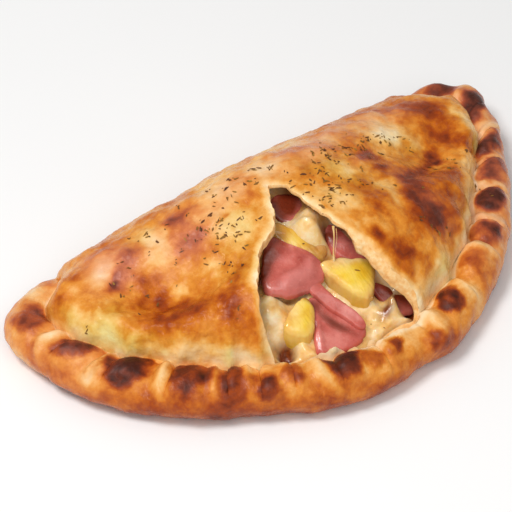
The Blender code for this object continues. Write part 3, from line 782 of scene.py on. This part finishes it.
def cavity_tool():
    grid = cavity_surface(Plan(190, 60), rows=34)
    flat = grid.reshape(-1, 3)
    bubbles = fractal(flat, 0.006, 3, seed=40).reshape(grid.shape[:2])
    lifted = np.where(grid[..., 2] > FLOOR + 0.002, 0.0005, 0.0)
    grid = grid + ring_normals(grid) * (bubbles * lifted)[..., None]
    return ring_object("cavity_tool", grid)


def tear_tool(surface):
    """A ragged plug through the tear, which leaves a thin lip of dough on its upper right."""
    loop = outline_walk(TEAR, TEAR_STEP)
    normal = outward(loop)
    ragged = TEAR_JITTER * fractal(loop, 0.0055, 3, seed=50)
    loop = loop + normal * ragged[:, None]
    heights = np.array([surface.ray_cast(Vector((x, y, 0.2)), Vector((0, 0, -1)))[0].z
                        for x, y in loop])
    right = smooth_step(normal[:, 0] * 1.6)
    upper = smooth_step((loop[:, 1] + 0.082) / 0.008)
    rings = [np.column_stack((loop, np.full(len(loop), TEAR_BOTTOM)))]
    for share in np.linspace(0.0, 1.0, 16):
        up = np.maximum(heights - 0.0065 + 0.0105 * share, TEAR_BOTTOM + 0.0002 + 0.002 * share)
        depth = heights - up
        open_out = 0.0005 * np.exp(-np.maximum(depth, 0.0) / 0.0008)
        open_out += 0.0034 * right * upper * smooth_step((depth - 0.0014) / 0.0030)
        open_out -= 0.0016 * right * (1.0 - upper) * smooth_step(depth / 0.0040)
        crumb = 0.00020 * fractal(np.column_stack((loop, up)), 0.0030, 2, seed=60)
        rings.append(np.column_stack((loop + normal * (open_out + crumb)[:, None], up)))
    rings.append(np.column_stack((rings[-1][:, :2], np.full(len(loop), TEAR_TOP))))
    return ring_object("tear_tool", np.array(rings), thin_ends=False)


def finish_crust(crust, surface, grid, bake, rosy_and_sheen, sallow):
    """Rounds the torn edge and gives each point its baking, from the surface it lies on, and painted shade on the
    inside.
    """
    mesh = crust.data
    points = vertex_array(mesh)
    corners, faces = grid.reshape(-1, 3), closed_faces(grid)
    off, nearest = np.empty(len(points)), np.empty(len(points), np.int64)
    for k, point in enumerate(points):
        _, _, face, distance = surface.find_nearest(Vector(point))
        off[k] = distance
        face_corners = corners[list(faces[face])]
        nearest[k] = faces[face][np.argmin(np.sum((face_corners - point) ** 2, axis=1))]
    to_edge = edge_distance(points[:, :2], outline_walk(TEAR, 0.002))
    outer = off < 0.00012
    rounding = np.clip(1.0 - to_edge / 0.0034, 0.0, 1.0) ** 2 * (points[:, 2] > 0.020)
    right = smooth_step((points[:, 0] - np.interp(points[:, 1], (-0.1, -0.05), (-0.015, -0.015)))
                        / 0.01)
    points[:, 2] -= outer * rounding * (0.0007 + 0.0007 * right)
    set_vertices(mesh, points)
    inside = 1.0 - smooth_step((0.0018 - off) / 0.0016)
    torn = np.where(outer, 0.0, 1.0)
    # Painted shade on the inside of the dough, more than 3.5 mm in from its outer surface.
    painted_shade = np.where(outer, 0.0, inside * smooth_step((off - 0.0035) / 0.002))
    near_tear = 0.35 * np.clip(1.0 - to_edge / 0.0035, 0.0, 1.0) * outer
    set_attribute(mesh, "bake", np.clip(bake.ravel()[nearest] - near_tear, 0.0, 1.0))
    set_attribute(mesh, "rosy_and_sheen", rosy_and_sheen.ravel()[nearest])
    set_attribute(mesh, "sallow", sallow.ravel()[nearest])
    set_attribute(mesh, "torn", torn)
    set_attribute(mesh, "painted_shade", painted_shade)
    smooth_shading(mesh, 50)


def slope_height(points):
    return SLOPE_START[1] + (points[:, 1] - SLOPE_START[0]) * SLOPE


def cheese_surface(points, ceiling):
    """The filling fills the dough, but sinks to an uneven melted slope in and round the tear."""
    sunk = 1.0 - smooth_step((np.maximum(edge_distance(points, TEAR), 0.0) - 0.004) / HOLLOW_REACH)
    low = slope_height(points) - 0.001 + 0.0006 * fractal(points, 0.006, 3, seed=70)
    low += patches(points, CHEESE_MOUNDS, 1.2) * MM
    for slab in (*HAM.values(), *PINEAPPLE.values()):
        gap = np.abs(edge_distance(points, slab["outline"]))
        low += 0.0011 * np.exp(-((gap / 0.0016) ** 2))
    low = np.minimum(low, ceiling)
    return np.maximum(ceiling + (low - ceiling) * sunk, FLOOR + 0.004)


def make_cheese():
    plan = Plan(330, 50)
    grid = cavity_surface(plan, GAP, cheese_surface, rows=74, crown_rows=8)
    cheese = ring_object("melted_cheese", grid)
    points = vertex_array(cheese.data)
    # Browning of the cheese, with painted shade in its holes and under the torn edge.
    toast_and_shade = patches(warped(points, 0.004, 0.0008, seed=84), CHEESE_BROWN_AND_SHADE, 1.4)
    toast_and_shade += 0.20 * fractal(points, 0.004, 3, seed=80)
    set_attribute(cheese.data, "toast_and_shade", np.clip(toast_and_shade, 0.0, 1.0))
    smooth_shading(cheese.data, 80)
    return cheese


def slab_grid(outline, lift, bulge, thickness, edge, wobble, seed):
    """Rings of a slice or chunk lying on the slope: under it, round its edge, then over its top."""
    loop = outline_walk(outline, SLAB_COLUMNS)
    loop = loop + outward(loop) * (wobble * fractal(loop, 0.004, 3, seed=seed))[:, None]
    middle = loop.mean(axis=0)
    size = np.linalg.norm(loop - middle, axis=1).mean()
    radius = min(edge, thickness / 2)
    stations = [(share, 0.0) for share in (0.1, 0.4, 0.7, 0.85)]
    for angle in np.linspace(-90.0, 90.0, SLAB_EDGE_ROWS):
        c, s = math.cos(math.radians(angle)), math.sin(math.radians(angle))
        part = radius * (1 + s) if s < 0 else thickness - radius * (1 - s)
        stations.append((1.0 - radius * (1.0 - c) / size, part))
    rim_share = stations[-1][0]
    stations += [(rim_share * (1.0 - k / SLAB_TOP_ROWS) + 0.02, thickness)
                 for k in range(1, SLAB_TOP_ROWS + 1)]
    rings = []
    for share, part in stations:
        flat = middle + (loop - middle) * share
        up = slope_height(flat) + lift + bulge * (1.0 - share**2) + part - thickness
        rings.append(np.column_stack((flat, up)))
    return np.array(rings)


def slab_object(name, grid, sharp_angle=60):
    made = ring_object(name, grid, thin_ends=False)
    smooth_shading(made.data, sharp_angle)
    return made


def on_top(grid, thickness_rows=4 + SLAB_EDGE_ROWS // 2):
    """1 on a slab's upper side, 0 underneath."""
    rows = np.arange(len(grid)) >= thickness_rows
    return np.repeat(rows[:, None], grid.shape[1], axis=1).astype(float)


# Folds and rolled lips in the ham: x, y, half length, half width, turn and height in mm.
HAM_FOLDS = {
    "ham_left": ((-25, -73.5, 11, 3.2, 4, 1.6), (-14, -71, 6, 3, 40, 1.0),
                 (-25, -66, 9, 4, -30, -1.2), (-17, -64, 6, 3, -30, 0.5)),
    "ham_strip": ((-13, -86, 10, 1.6, -60, 0.9), (-9.5, -93, 6, 1.3, -60, 0.6)),
    "ham_front": ((-26, -94, 8, 1.2, 62, 0.9), (-17, -96, 8, 4, 0, -0.5)),
    "ham_back": ((-6, -50, 6, 2, 10, 1.2), (-4, -44, 6, 3, 0, -0.8)),
    "ham_right_back": ((5, -68, 9, 2, -50, 0.9), (9, -62, 6, 3, -40, -0.7)),
    "ham_right": ((12, -92, 6, 1.6, -70, 0.6),),
}


# Painted shade on the filling's pieces: darker where the torn edge, the holes and the pieces above keep the light
# off, from 0 to 1.
PAINTED_SHADE_PLACES = (
    (-27, -60.5, 12, 3.6, 24, 1.0), (-36, -67, 4, 6, -30, 0.6), (-4, -41, 9, 4.5, 0, 1.0),
    (-13, -45, 3, 7, 0, 0.8), (1.5, -62, 3.5, 5, 0, 1.0), (15, -63, 6, 8, 0, 0.3),
    (-22, -81.5, 5, 2.4, -35, 0.8), (13, -92, 8, 10, 0, 1.0), (-18, -52, 4, 4, 0, 0.4),
    (-17.5, -92, 8.5, 1.8, -62, 0.9), (-8.5, -66, 2.5, 4, 0, 0.4), (-7, -46, 7, 4, 0, 0.8),
    (17, -72, 5, 8, 30, 0.4), (-31, -63, 6, 4, 30, 0.4),
)


# How much painted shade each point of a filling piece gets.
def painted_shade_places(points):
    return np.clip(patches(warped(points, 0.005, 0.0010, seed=120), PAINTED_SHADE_PLACES, 1.3), 0.0, 1.0)


def make_ham(name, seed):
    spec = HAM[name]
    grid = slab_grid(**spec, edge=0.0016, wobble=0.0004, seed=seed)
    flat = grid.reshape(-1, 3)
    shape = grid.shape[:2]
    lift = patches(flat, HAM_FOLDS[name]).reshape(shape) * MM
    lift += 0.00040 * fractal(flat[:, :2], 0.011, 3, seed=seed + 3).reshape(shape)
    grid[..., 2] += lift
    made = slab_object(name + "_slice", grid)
    points = grid.reshape(-1, 3)
    edge = -edge_distance(points[:, :2], spec["outline"])
    set_attribute(made.data, "rind", np.clip(1.0 - edge / 0.0012, 0.0, 1.0))
    set_attribute(made.data, "painted_shade", painted_shade_places(points))
    # Fold height, which the ham's colour also uses for a painted highlight on raised folds.
    set_attribute(made.data, "lift", np.clip(lift.ravel() / 0.0016, -1.0, 1.0))
    return made


# Where melted cheese clings to the pineapple, in the same form, from 0 to 1.
CHEESE_ON_FRUIT = (
    (-10, -79, 2.5, 5, 25, 0.55), (1, -92, 4, 3, 0, 0.4), (-1, -76, 11, 2.8, -15, 0.9),
    (-32, -82, 5, 4, -30, 0.6), (-34.5, -87, 4, 4, 0, 0.45), (-4, -65, 4, 4, 0, 0.6),
)


def make_pineapple(name, seed):
    spec = PINEAPPLE[name]
    grid = slab_grid(**spec, edge=0.0020, wobble=0.0005, seed=seed)
    flat = grid.reshape(-1, 3)
    shape = grid.shape[:2]
    grain = lumps(np.column_stack((flat[:, 0] * 2.6 + flat[:, 1] * 0.5, flat[:, 1] * 0.6,
                                   flat[:, 2] * 0.6)), 0.0026, seed).reshape(shape)
    grid = grid + ring_normals(grid) * (0.00012 * grain + 0.00035 * fractal(
        flat, 0.007, 3, seed + 1).reshape(shape))[..., None]
    made = slab_object(name + "_chunk", grid)
    points = grid.reshape(-1, 3)
    edge = -edge_distance(points[:, :2], spec["outline"])
    set_attribute(made.data, "rind", np.clip(1.0 - edge / 0.0024, 0.0, 1.0) * on_top(grid).ravel())
    set_attribute(made.data, "painted_shade", painted_shade_places(points))
    coated = 0.38 if name == "pineapple_back" else 0.0
    cheesy = patches(points, CHEESE_ON_FRUIT, 1.3)
    set_attribute(made.data, "coated", np.clip(cheesy + coated * (
        0.9 + 0.5 * fractal(points, 0.005, 3, seed=130)), 0.0, 1.0))
    return made


def tube(path, radii, sides=10):
    """Points and faces of a closed tube along a path."""
    path = np.array(path)
    along = np.gradient(path, axis=0)
    along /= np.linalg.norm(along, axis=1, keepdims=True)
    across = np.cross(along, (0.3, 0.9, 0.1))
    across /= np.linalg.norm(across, axis=1, keepdims=True)
    third = np.cross(along, across)
    turn = np.linspace(0.0, 2 * math.pi, sides, endpoint=False)
    ring = (across[:, None] * np.cos(turn)[None, :, None]
            + third[:, None] * np.sin(turn)[None, :, None])
    points = path[:, None] + ring * np.array(radii)[:, None, None]
    faces = ring_faces(len(path), sides)
    faces += [list(range(sides))[::-1], list(range((len(path) - 1) * sides, len(path) * sides))]
    return points.reshape(-1, 3), faces


def joined(name, parts):
    """One object from lists of points and faces."""
    points, faces, start = [], [], 0
    for part_points, part_faces in parts:
        points.append(part_points)
        faces += [[start + i for i in face] for face in part_faces]
        start += len(part_points)
    return new_object(name, np.vstack(points), faces)


def make_strands():
    parts = []
    for start, end, sag, thickness in STRANDS:
        t = np.linspace(0.0, 1.0, 16)
        path = np.array(start) + (np.array(end) - np.array(start)) * t[:, None]
        path[:, 1] -= sag * np.sin(np.pi * t)
        path[:, 0] += sag * 0.5 * np.sin(2.2 * np.pi * t)
        radii = thickness * (0.75 + 2.2 * np.abs(t - 0.5) ** 2.2 * 2.0)
        parts.append(tube(path, radii))
    strands = joined("cheese_strands", parts)
    set_attribute(strands.data, "toast_and_shade", np.zeros(len(strands.data.vertices)))
    smooth_shading(strands.data, 80)
    return strands


def herb_leaf(place, normal, rng):
    """A dried leaf flake: a thin, folded, pointed sliver lying on the surface."""
    length = (0.35 + 1.1 * rng.random() ** 2.0) * MM
    width = min(length * rng.uniform(0.3, 0.9), rng.uniform(0.25, 0.6) * MM)
    curl = rng.uniform(0.0, 0.25) * MM
    turn = rng.uniform(0.0, 2 * math.pi)
    side = normal.orthogonal().normalized()
    other = normal.cross(side)
    along = side * math.cos(turn) + other * math.sin(turn)
    across = normal.cross(along)
    points = []
    for u, v in ((-1, 0), (-0.45, 0.8), (0.35, 1.0), (1, 0.1), (0.4, -0.9), (-0.5, -0.8)):
        u, v = u + rng.uniform(-0.2, 0.2), v * rng.uniform(0.5, 1.2)
        up = curl * u * u + 0.02 * MM + 0.10 * MM * abs(v)
        points.append(place + along * (u * length) + across * (v * width) + normal * up)
    points += [p + normal * 0.13 * MM for p in points[:6]]
    faces = [(5, 4, 3, 2, 1, 0), (6, 7, 8, 9, 10, 11)]
    faces += [(i, (i + 1) % 6, 6 + (i + 1) % 6, 6 + i) for i in range(6)]
    return np.array([tuple(p) for p in points]), faces


def make_herbs(trees):
    """Oregano flakes scattered over the dome, and a few on the filling."""
    rng = np.random.default_rng(5)
    places = []
    for x, y, half_length, half_width, count in HERB_PATCHES:
        spread = rng.normal(0.0, 0.55, (count, 2)) * (half_length * MM, half_width * MM)
        for dx, dy in spread:
            crumbs = rng.normal(0.0, 0.8 * MM, (rng.integers(1, 4), 2))
            places += [(x * MM + dx + cx, y * MM + dy + cy) for cx, cy in crumbs]
    on_filling = [(x * MM, y * MM) for x, y in HERBS_ON_FILLING]
    parts, shades = [], []
    to_edge = edge_distance(np.array(places), TEAR)
    for (x, y), gap in zip(places, to_edge):
        if gap > 0.002:
            hit = trees["crust"].ray_cast(Vector((x, y, 0.2)), Vector((0, 0, -1)))
            parts.append(herb_leaf(hit[0], hit[1], rng))
            shades.append(rng.random())
    for x, y in on_filling:
        hits = [tree.ray_cast(Vector((x, y, 0.2)), Vector((0, 0, -1))) for tree in trees.values()]
        hit = max((h for h in hits if h[0] is not None), key=lambda h: h[0].z)
        parts.append(herb_leaf(hit[0], hit[1], rng))
        shades.append(rng.random())
    herbs = joined("herbs", parts)
    set_attribute(herbs.data, "shade", np.repeat(shades, 12))
    return herbs


def node(tree, kind, inputs=(), **settings):
    """A shader node with its settings and inputs, where an input is a value or a socket."""
    made = tree.nodes.new(kind)
    for name, value in settings.items():
        setattr(made, name, value)
    for name, value in dict(inputs).items():
        if isinstance(value, bpy.types.NodeSocket):
            tree.links.new(value, made.inputs[name])
        else:
            made.inputs[name].default_value = value
    return made


def new_material(name):
    material = bpy.data.materials.new(name)
    material.use_nodes = True
    return material, material.node_tree, material.node_tree.nodes["Principled BSDF"]


def attribute(tree, name):
    return node(tree, "ShaderNodeAttribute", attribute_name=name).outputs["Fac"]


def place_of(tree):
    return node(tree, "ShaderNodeTexCoord").outputs["Object"]


def noise_of(tree, scale, detail=4.0, roughness=0.55, vector=None):
    inputs = {"Vector": vector or place_of(tree), "Scale": scale, "Detail": detail,
              "Roughness": roughness}
    return node(tree, "ShaderNodeTexNoise", inputs).outputs["Fac"]


def calculate(tree, operation, first, second=0.0, third=0.0):
    return node(tree, "ShaderNodeMath", {0: first, 1: second, 2: third},
                operation=operation).outputs[0]


def ramp(tree, factor, stops):
    made = node(tree, "ShaderNodeValToRGB", {"Fac": factor})
    elements = made.color_ramp.elements
    while len(elements) < len(stops):
        elements.new(0.5)
    for element, (position, colour) in zip(elements, stops):
        element.position = position
        element.color = srgb(colour)
    return made.outputs["Color"]


def mix(tree, factor, first, second, blend="MIX"):
    made = node(tree, "ShaderNodeMix", data_type="RGBA", blend_type=blend, clamp_factor=True)
    colour_inputs = [i for i in made.inputs if i.type == "RGBA"]
    for socket, value in zip((made.inputs["Factor"], *colour_inputs), (factor, first, second)):
        if isinstance(value, bpy.types.NodeSocket):
            tree.links.new(value, socket)
        else:
            socket.default_value = value
    return next(o for o in made.outputs if o.type == "RGBA")


def bump(tree, height, distance, strength=1.0, normal=None):
    inputs = {"Height": height, "Distance": distance, "Strength": strength}
    if normal is not None:
        inputs["Normal"] = normal
    return node(tree, "ShaderNodeBump", inputs).outputs["Normal"]


def crust_material():
    material, tree, shader = new_material("baked_dough")
    broad = noise_of(tree, 90.0, 5.0, 0.6)
    small = noise_of(tree, 420.0, 4.0, 0.6)
    grit = noise_of(tree, 1500.0, 3.0, 0.6)
    bake = attribute(tree, "bake")
    mottled = calculate(tree, "MULTIPLY_ADD", calculate(tree, "SUBTRACT", broad, 0.5), 0.36, bake)
    mottled = calculate(tree, "MULTIPLY_ADD", calculate(tree, "SUBTRACT", small, 0.5), 0.28,
                        mottled)
    colour = ramp(tree, mottled, BAKED)
    rosy_and_sheen = calculate(tree, "MULTIPLY", attribute(tree, "rosy_and_sheen"), broad)
    colour = mix(tree, rosy_and_sheen, colour, srgb((255, 214, 214)), "MULTIPLY")
    # Painted sheen: pale pink mixed over the rosier places, weaker where the dough is burnt.
    unburnt = calculate(tree, "MULTIPLY_ADD", mottled, -1.7, 1.85)
    painted_sheen = calculate(tree, "MULTIPLY", calculate(tree, "MULTIPLY", rosy_and_sheen, 0.60), unburnt)
    colour = mix(tree, painted_sheen, colour, srgb((222, 162, 142)))
    green = calculate(tree, "MULTIPLY", attribute(tree, "sallow"), 0.75)
    colour = mix(tree, green, colour, srgb((232, 250, 206)), "MULTIPLY")
    crumb = ramp(tree, small, ((0.3, (240, 178, 104)), (0.5, (250, 202, 136)),
                               (0.7, (254, 224, 170))))
    colour = mix(tree, attribute(tree, "torn"), colour, crumb)
    # Painted shade: dark brown on the dough's inside, where the hollow is out of the light.
    painted_shade_colour = ramp(tree, broad, ((0.3, (104, 42, 12)), (0.55, (142, 70, 24)), (0.75, (176, 104, 46))))
    colour = mix(tree, attribute(tree, "painted_shade"), colour, painted_shade_colour)
    tree.links.new(colour, shader.inputs["Base Color"])
    rough = ramp(tree, small, ((0.3, (84, 84, 84)), (0.7, (150, 150, 150))))
    oily = calculate(tree, "MULTIPLY", attribute(tree, "rosy_and_sheen"), 0.7)
    rough = mix(tree, oily, rough, srgb((58, 58, 58)))
    burnt = ramp(tree, mottled, ((0.66, (0, 0, 0)), (0.86, (200, 200, 200))))
    rough = mix(tree, burnt, rough, srgb((190, 190, 190)))
    tree.links.new(rough, shader.inputs["Roughness"])
    lumpy = bump(tree, broad, 0.0012, 0.6)
    pitted = bump(tree, small, 0.0006, 0.7, lumpy)
    tree.links.new(bump(tree, grit, 0.00025, 0.6, pitted), shader.inputs["Normal"])
    shader.inputs["Specular IOR Level"].default_value = 0.18
    shader.inputs["Coat Weight"].default_value = 0.03
    shader.inputs["Coat Roughness"].default_value = 0.30
    return material


def cheese_material():
    material, tree, shader = new_material("melted_cheese")
    broad = noise_of(tree, 160.0, 4.0)
    small = noise_of(tree, 700.0, 3.0)
    pale = ramp(tree, broad, ((0.32, (240, 184, 100)), (0.50, (250, 212, 142)),
                              (0.68, (253, 232, 188))))
    # Browned cheese, and painted shade in the holes and under the torn edge.
    brown = ramp(tree, small, ((0.3, (98, 34, 8)), (0.7, (146, 66, 22))))
    colour = mix(tree, attribute(tree, "toast_and_shade"), pale, brown)
    tree.links.new(colour, shader.inputs["Base Color"])
    tree.links.new(ramp(tree, small, ((0.3, (56, 56, 56)), (0.7, (96, 96, 96)))),
                   shader.inputs["Roughness"])
    tree.links.new(bump(tree, small, 0.0004, 0.5, bump(tree, broad, 0.0010, 0.5)),
                   shader.inputs["Normal"])
    shader.inputs["Subsurface Weight"].default_value = 0.25
    shader.inputs["Subsurface Radius"].default_value = (0.004, 0.0025, 0.001)
    shader.inputs["Subsurface Scale"].default_value = 1.0
    shader.inputs["Coat Weight"].default_value = 0.3
    shader.inputs["Coat Roughness"].default_value = 0.15
    return material


def ham_material():
    material, tree, shader = new_material("ham_slice")
    broad = noise_of(tree, 130.0, 4.0)
    small = noise_of(tree, 900.0, 3.0)
    meat = ramp(tree, broad, ((0.30, (176, 74, 62)), (0.50, (204, 102, 90)),
                              (0.68, (222, 132, 120))))
    fat = ramp(tree, small, ((0.58, (0, 0, 0)), (0.72, (120, 120, 120))))
    colour = mix(tree, fat, meat, srgb((236, 168, 150)))
    edge = calculate(tree, "MULTIPLY", attribute(tree, "rind"), 0.55)
    colour = mix(tree, edge, colour, srgb((216, 108, 96)))
    # Painted highlight: the ham is lighter pink where its folds and lips are raised.
    painted_fold_highlight = calculate(tree, "MULTIPLY", attribute(tree, "lift"), 0.45)
    colour = mix(tree, painted_fold_highlight, colour, srgb((232, 150, 142)))
    painted_shade = attribute(tree, "painted_shade")
    # Painted shade: dark red-brown where the ham lies under the torn edge, in holes or under other pieces.
    colour = mix(tree, painted_shade, colour, srgb((116, 40, 16)))
    tree.links.new(colour, shader.inputs["Base Color"])
    rough = ramp(tree, small, ((0.3, (70, 70, 70)), (0.7, (120, 120, 120))))
    tree.links.new(mix(tree, painted_shade, rough, srgb((170, 170, 170))), shader.inputs["Roughness"])
    tree.links.new(bump(tree, small, 0.0003, 0.5, bump(tree, broad, 0.0008, 0.4)),
                   shader.inputs["Normal"])
    shader.inputs["Subsurface Weight"].default_value = 0.15
    shader.inputs["Subsurface Radius"].default_value = (0.004, 0.0015, 0.001)
    shader.inputs["Subsurface Scale"].default_value = 1.0
    shader.inputs["Coat Weight"].default_value = 0.15
    shader.inputs["Coat Roughness"].default_value = 0.2
    return material


def pineapple_material():
    material, tree, shader = new_material("pineapple_flesh")
    stretch = node(tree, "ShaderNodeMapping", {"Vector": place_of(tree), "Scale": (2.4, 0.6, 0.8),
                                               "Rotation": (0.0, 0.0, 0.5)})
    fibre = noise_of(tree, 600.0, 3.0, 0.5, stretch.outputs["Vector"])
    broad = noise_of(tree, 130.0, 3.0)
    flesh = ramp(tree, broad, ((0.32, (238, 186, 40)), (0.52, (248, 208, 64)),
                               (0.70, (252, 218, 104))))
    threads = ramp(tree, fibre, ((0.45, (0, 0, 0)), (0.75, (66, 66, 66))))
    colour = mix(tree, threads, flesh, srgb((252, 226, 150)))
    edge = calculate(tree, "MULTIPLY", attribute(tree, "rind"), 0.55)
    colour = mix(tree, edge, colour, srgb((250, 208, 126)))
    melted = ramp(tree, broad, ((0.35, (226, 160, 84)), (0.65, (248, 212, 146))))
    colour = mix(tree, attribute(tree, "coated"), colour, melted)
    # Painted shade: brown where the pineapple lies under the torn edge or other pieces.
    colour = mix(tree, attribute(tree, "painted_shade"), colour, srgb((150, 78, 20)))
    tree.links.new(colour, shader.inputs["Base Color"])
    tree.links.new(ramp(tree, fibre, ((0.3, (60, 60, 60)), (0.7, (110, 110, 110)))),
                   shader.inputs["Roughness"])
    tree.links.new(bump(tree, fibre, 0.0004, 0.4, bump(tree, broad, 0.0008, 0.4)),
                   shader.inputs["Normal"])
    shader.inputs["Subsurface Weight"].default_value = 0.25
    shader.inputs["Subsurface Radius"].default_value = (0.004, 0.003, 0.001)
    shader.inputs["Subsurface Scale"].default_value = 1.0
    shader.inputs["Coat Weight"].default_value = 0.25
    shader.inputs["Coat Roughness"].default_value = 0.15
    return material


def herb_material():
    material, tree, shader = new_material("dried_oregano")
    shade = attribute(tree, "shade")
    grain = noise_of(tree, 1800.0, 2.0)
    tone = calculate(tree, "MULTIPLY_ADD", calculate(tree, "SUBTRACT", grain, 0.5), 0.4, shade)
    colour = ramp(tree, tone, ((0.0, (74, 32, 6)), (0.35, (112, 62, 10)), (0.65, (134, 90, 20)),
                               (1.0, (164, 122, 40))))
    tree.links.new(colour, shader.inputs["Base Color"])
    shader.inputs["Roughness"].default_value = 0.75
    tree.links.new(bump(tree, grain, 0.0002, 0.8), shader.inputs["Normal"])
    return material


def floor_material():
    material, tree, shader = new_material("studio_floor")
    cloudy = noise_of(tree, 3.0, 2.0)
    tree.links.new(ramp(tree, cloudy, ((0.3, (246, 246, 246)), (0.7, (250, 250, 250)))),
                   shader.inputs["Base Color"])
    shader.inputs["Roughness"].default_value = 0.9
    return material


def settle(piece, material, cad_node=None):
    """Moves a piece to its place in the frame, gives it its material, and hides the CAD part that it stands for, if
    one is named.
    """
    piece.data.transform(fold_to_frame())
    piece.data.update()
    piece.data.materials.clear()
    piece.data.materials.append(material)
    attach(piece, "root")
    if cad_node:
        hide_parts(cad_node)


def fold_to_frame():
    return Matrix.Translation(Vector(FOLD_MIDDLE))


def tree_of(piece):
    mesh = piece.data
    return BVHTree.FromPolygons([v.co for v in mesh.vertices], [p.vertices for p in mesh.polygons])


def make_stage():
    mesh = bpy.data.meshes.new("floor")
    half = 3.0
    mesh.from_pydata([(-half, -half, 0), (half, -half, 0), (half, half, 0), (-half, half, 0)], [],
                     [(0, 1, 2, 3)])
    floor = bpy.data.objects.new("floor", mesh)
    bpy.context.scene.collection.objects.link(floor)
    floor.location.z = -0.0003
    floor.data.materials.append(floor_material())


def add_light(name, azimuth, elevation, distance, size, power, target):
    """A square area light, placed as seen from the object and aimed at it."""
    a, e = math.radians(azimuth), math.radians(elevation)
    away = Vector((math.sin(a) * math.cos(e), -math.cos(a) * math.cos(e), math.sin(e)))
    data = bpy.data.lights.new(name, "AREA")
    data.energy = power
    data.size = size
    light = bpy.data.objects.new(name, data)
    bpy.context.scene.collection.objects.link(light)
    light.location = target + away * distance
    light.rotation_euler = (-away).to_track_quat("-Z", "Y").to_euler()


def make_camera_and_light():
    scene = bpy.context.scene
    target = Vector((-0.0214, 0.0145, 0.020))
    azimuth, elevation, distance = math.radians(-36.3), math.radians(45.05), 0.9
    away = Vector((math.sin(azimuth) * math.cos(elevation),
                   -math.cos(azimuth) * math.cos(elevation), math.sin(elevation)))
    data = bpy.data.cameras.new("camera")
    data.lens = 153.5
    data.sensor_width = 36.0
    camera = bpy.data.objects.new("camera", data)
    scene.collection.objects.link(camera)
    camera.location = target + away * distance
    camera.rotation_euler = (-away).to_track_quat("-Z", "Y").to_euler()
    scene.camera = camera
    scene.view_settings.view_transform = "Standard"
    world = bpy.data.worlds.new("studio")
    world.use_nodes = True
    background = world.node_tree.nodes["Background"]
    background.inputs["Color"].default_value = (1.0, 0.99, 0.97, 1.0)
    background.inputs["Strength"].default_value = 0.40
    scene.world = world
    middle = Vector((0.0, 0.0, 0.02))
    add_light("key", -95.0, 64.0, 1.2, 0.40, 8.2, middle)
    add_light("fill", -25.0, 50.0, 1.3, 0.90, 4.0, middle)


def main():
    crust, _ = make_crust()
    cheese = make_cheese()
    strands = make_strands()
    hams = {name: make_ham(name, 100 + 7 * k) for k, name in enumerate(HAM)}
    chunks = {name: make_pineapple(name, 200 + 7 * k) for k, name in enumerate(PINEAPPLE)}
    trees = {"crust": tree_of(crust), "cheese": tree_of(cheese)}
    trees.update({name: tree_of(piece) for name, piece in {**hams, **chunks}.items()})
    herbs = make_herbs(trees)
    dough, melted = crust_material(), cheese_material()
    settle(crust, dough, "crust")
    settle(cheese, melted, "filling")
    settle(strands, melted)
    ham = ham_material()
    for name, piece in hams.items():
        settle(piece, ham, name)
    pineapple = pineapple_material()
    for name, piece in chunks.items():
        settle(piece, pineapple, name)
    settle(herbs, herb_material())
    make_stage()
    make_camera_and_light()


main()
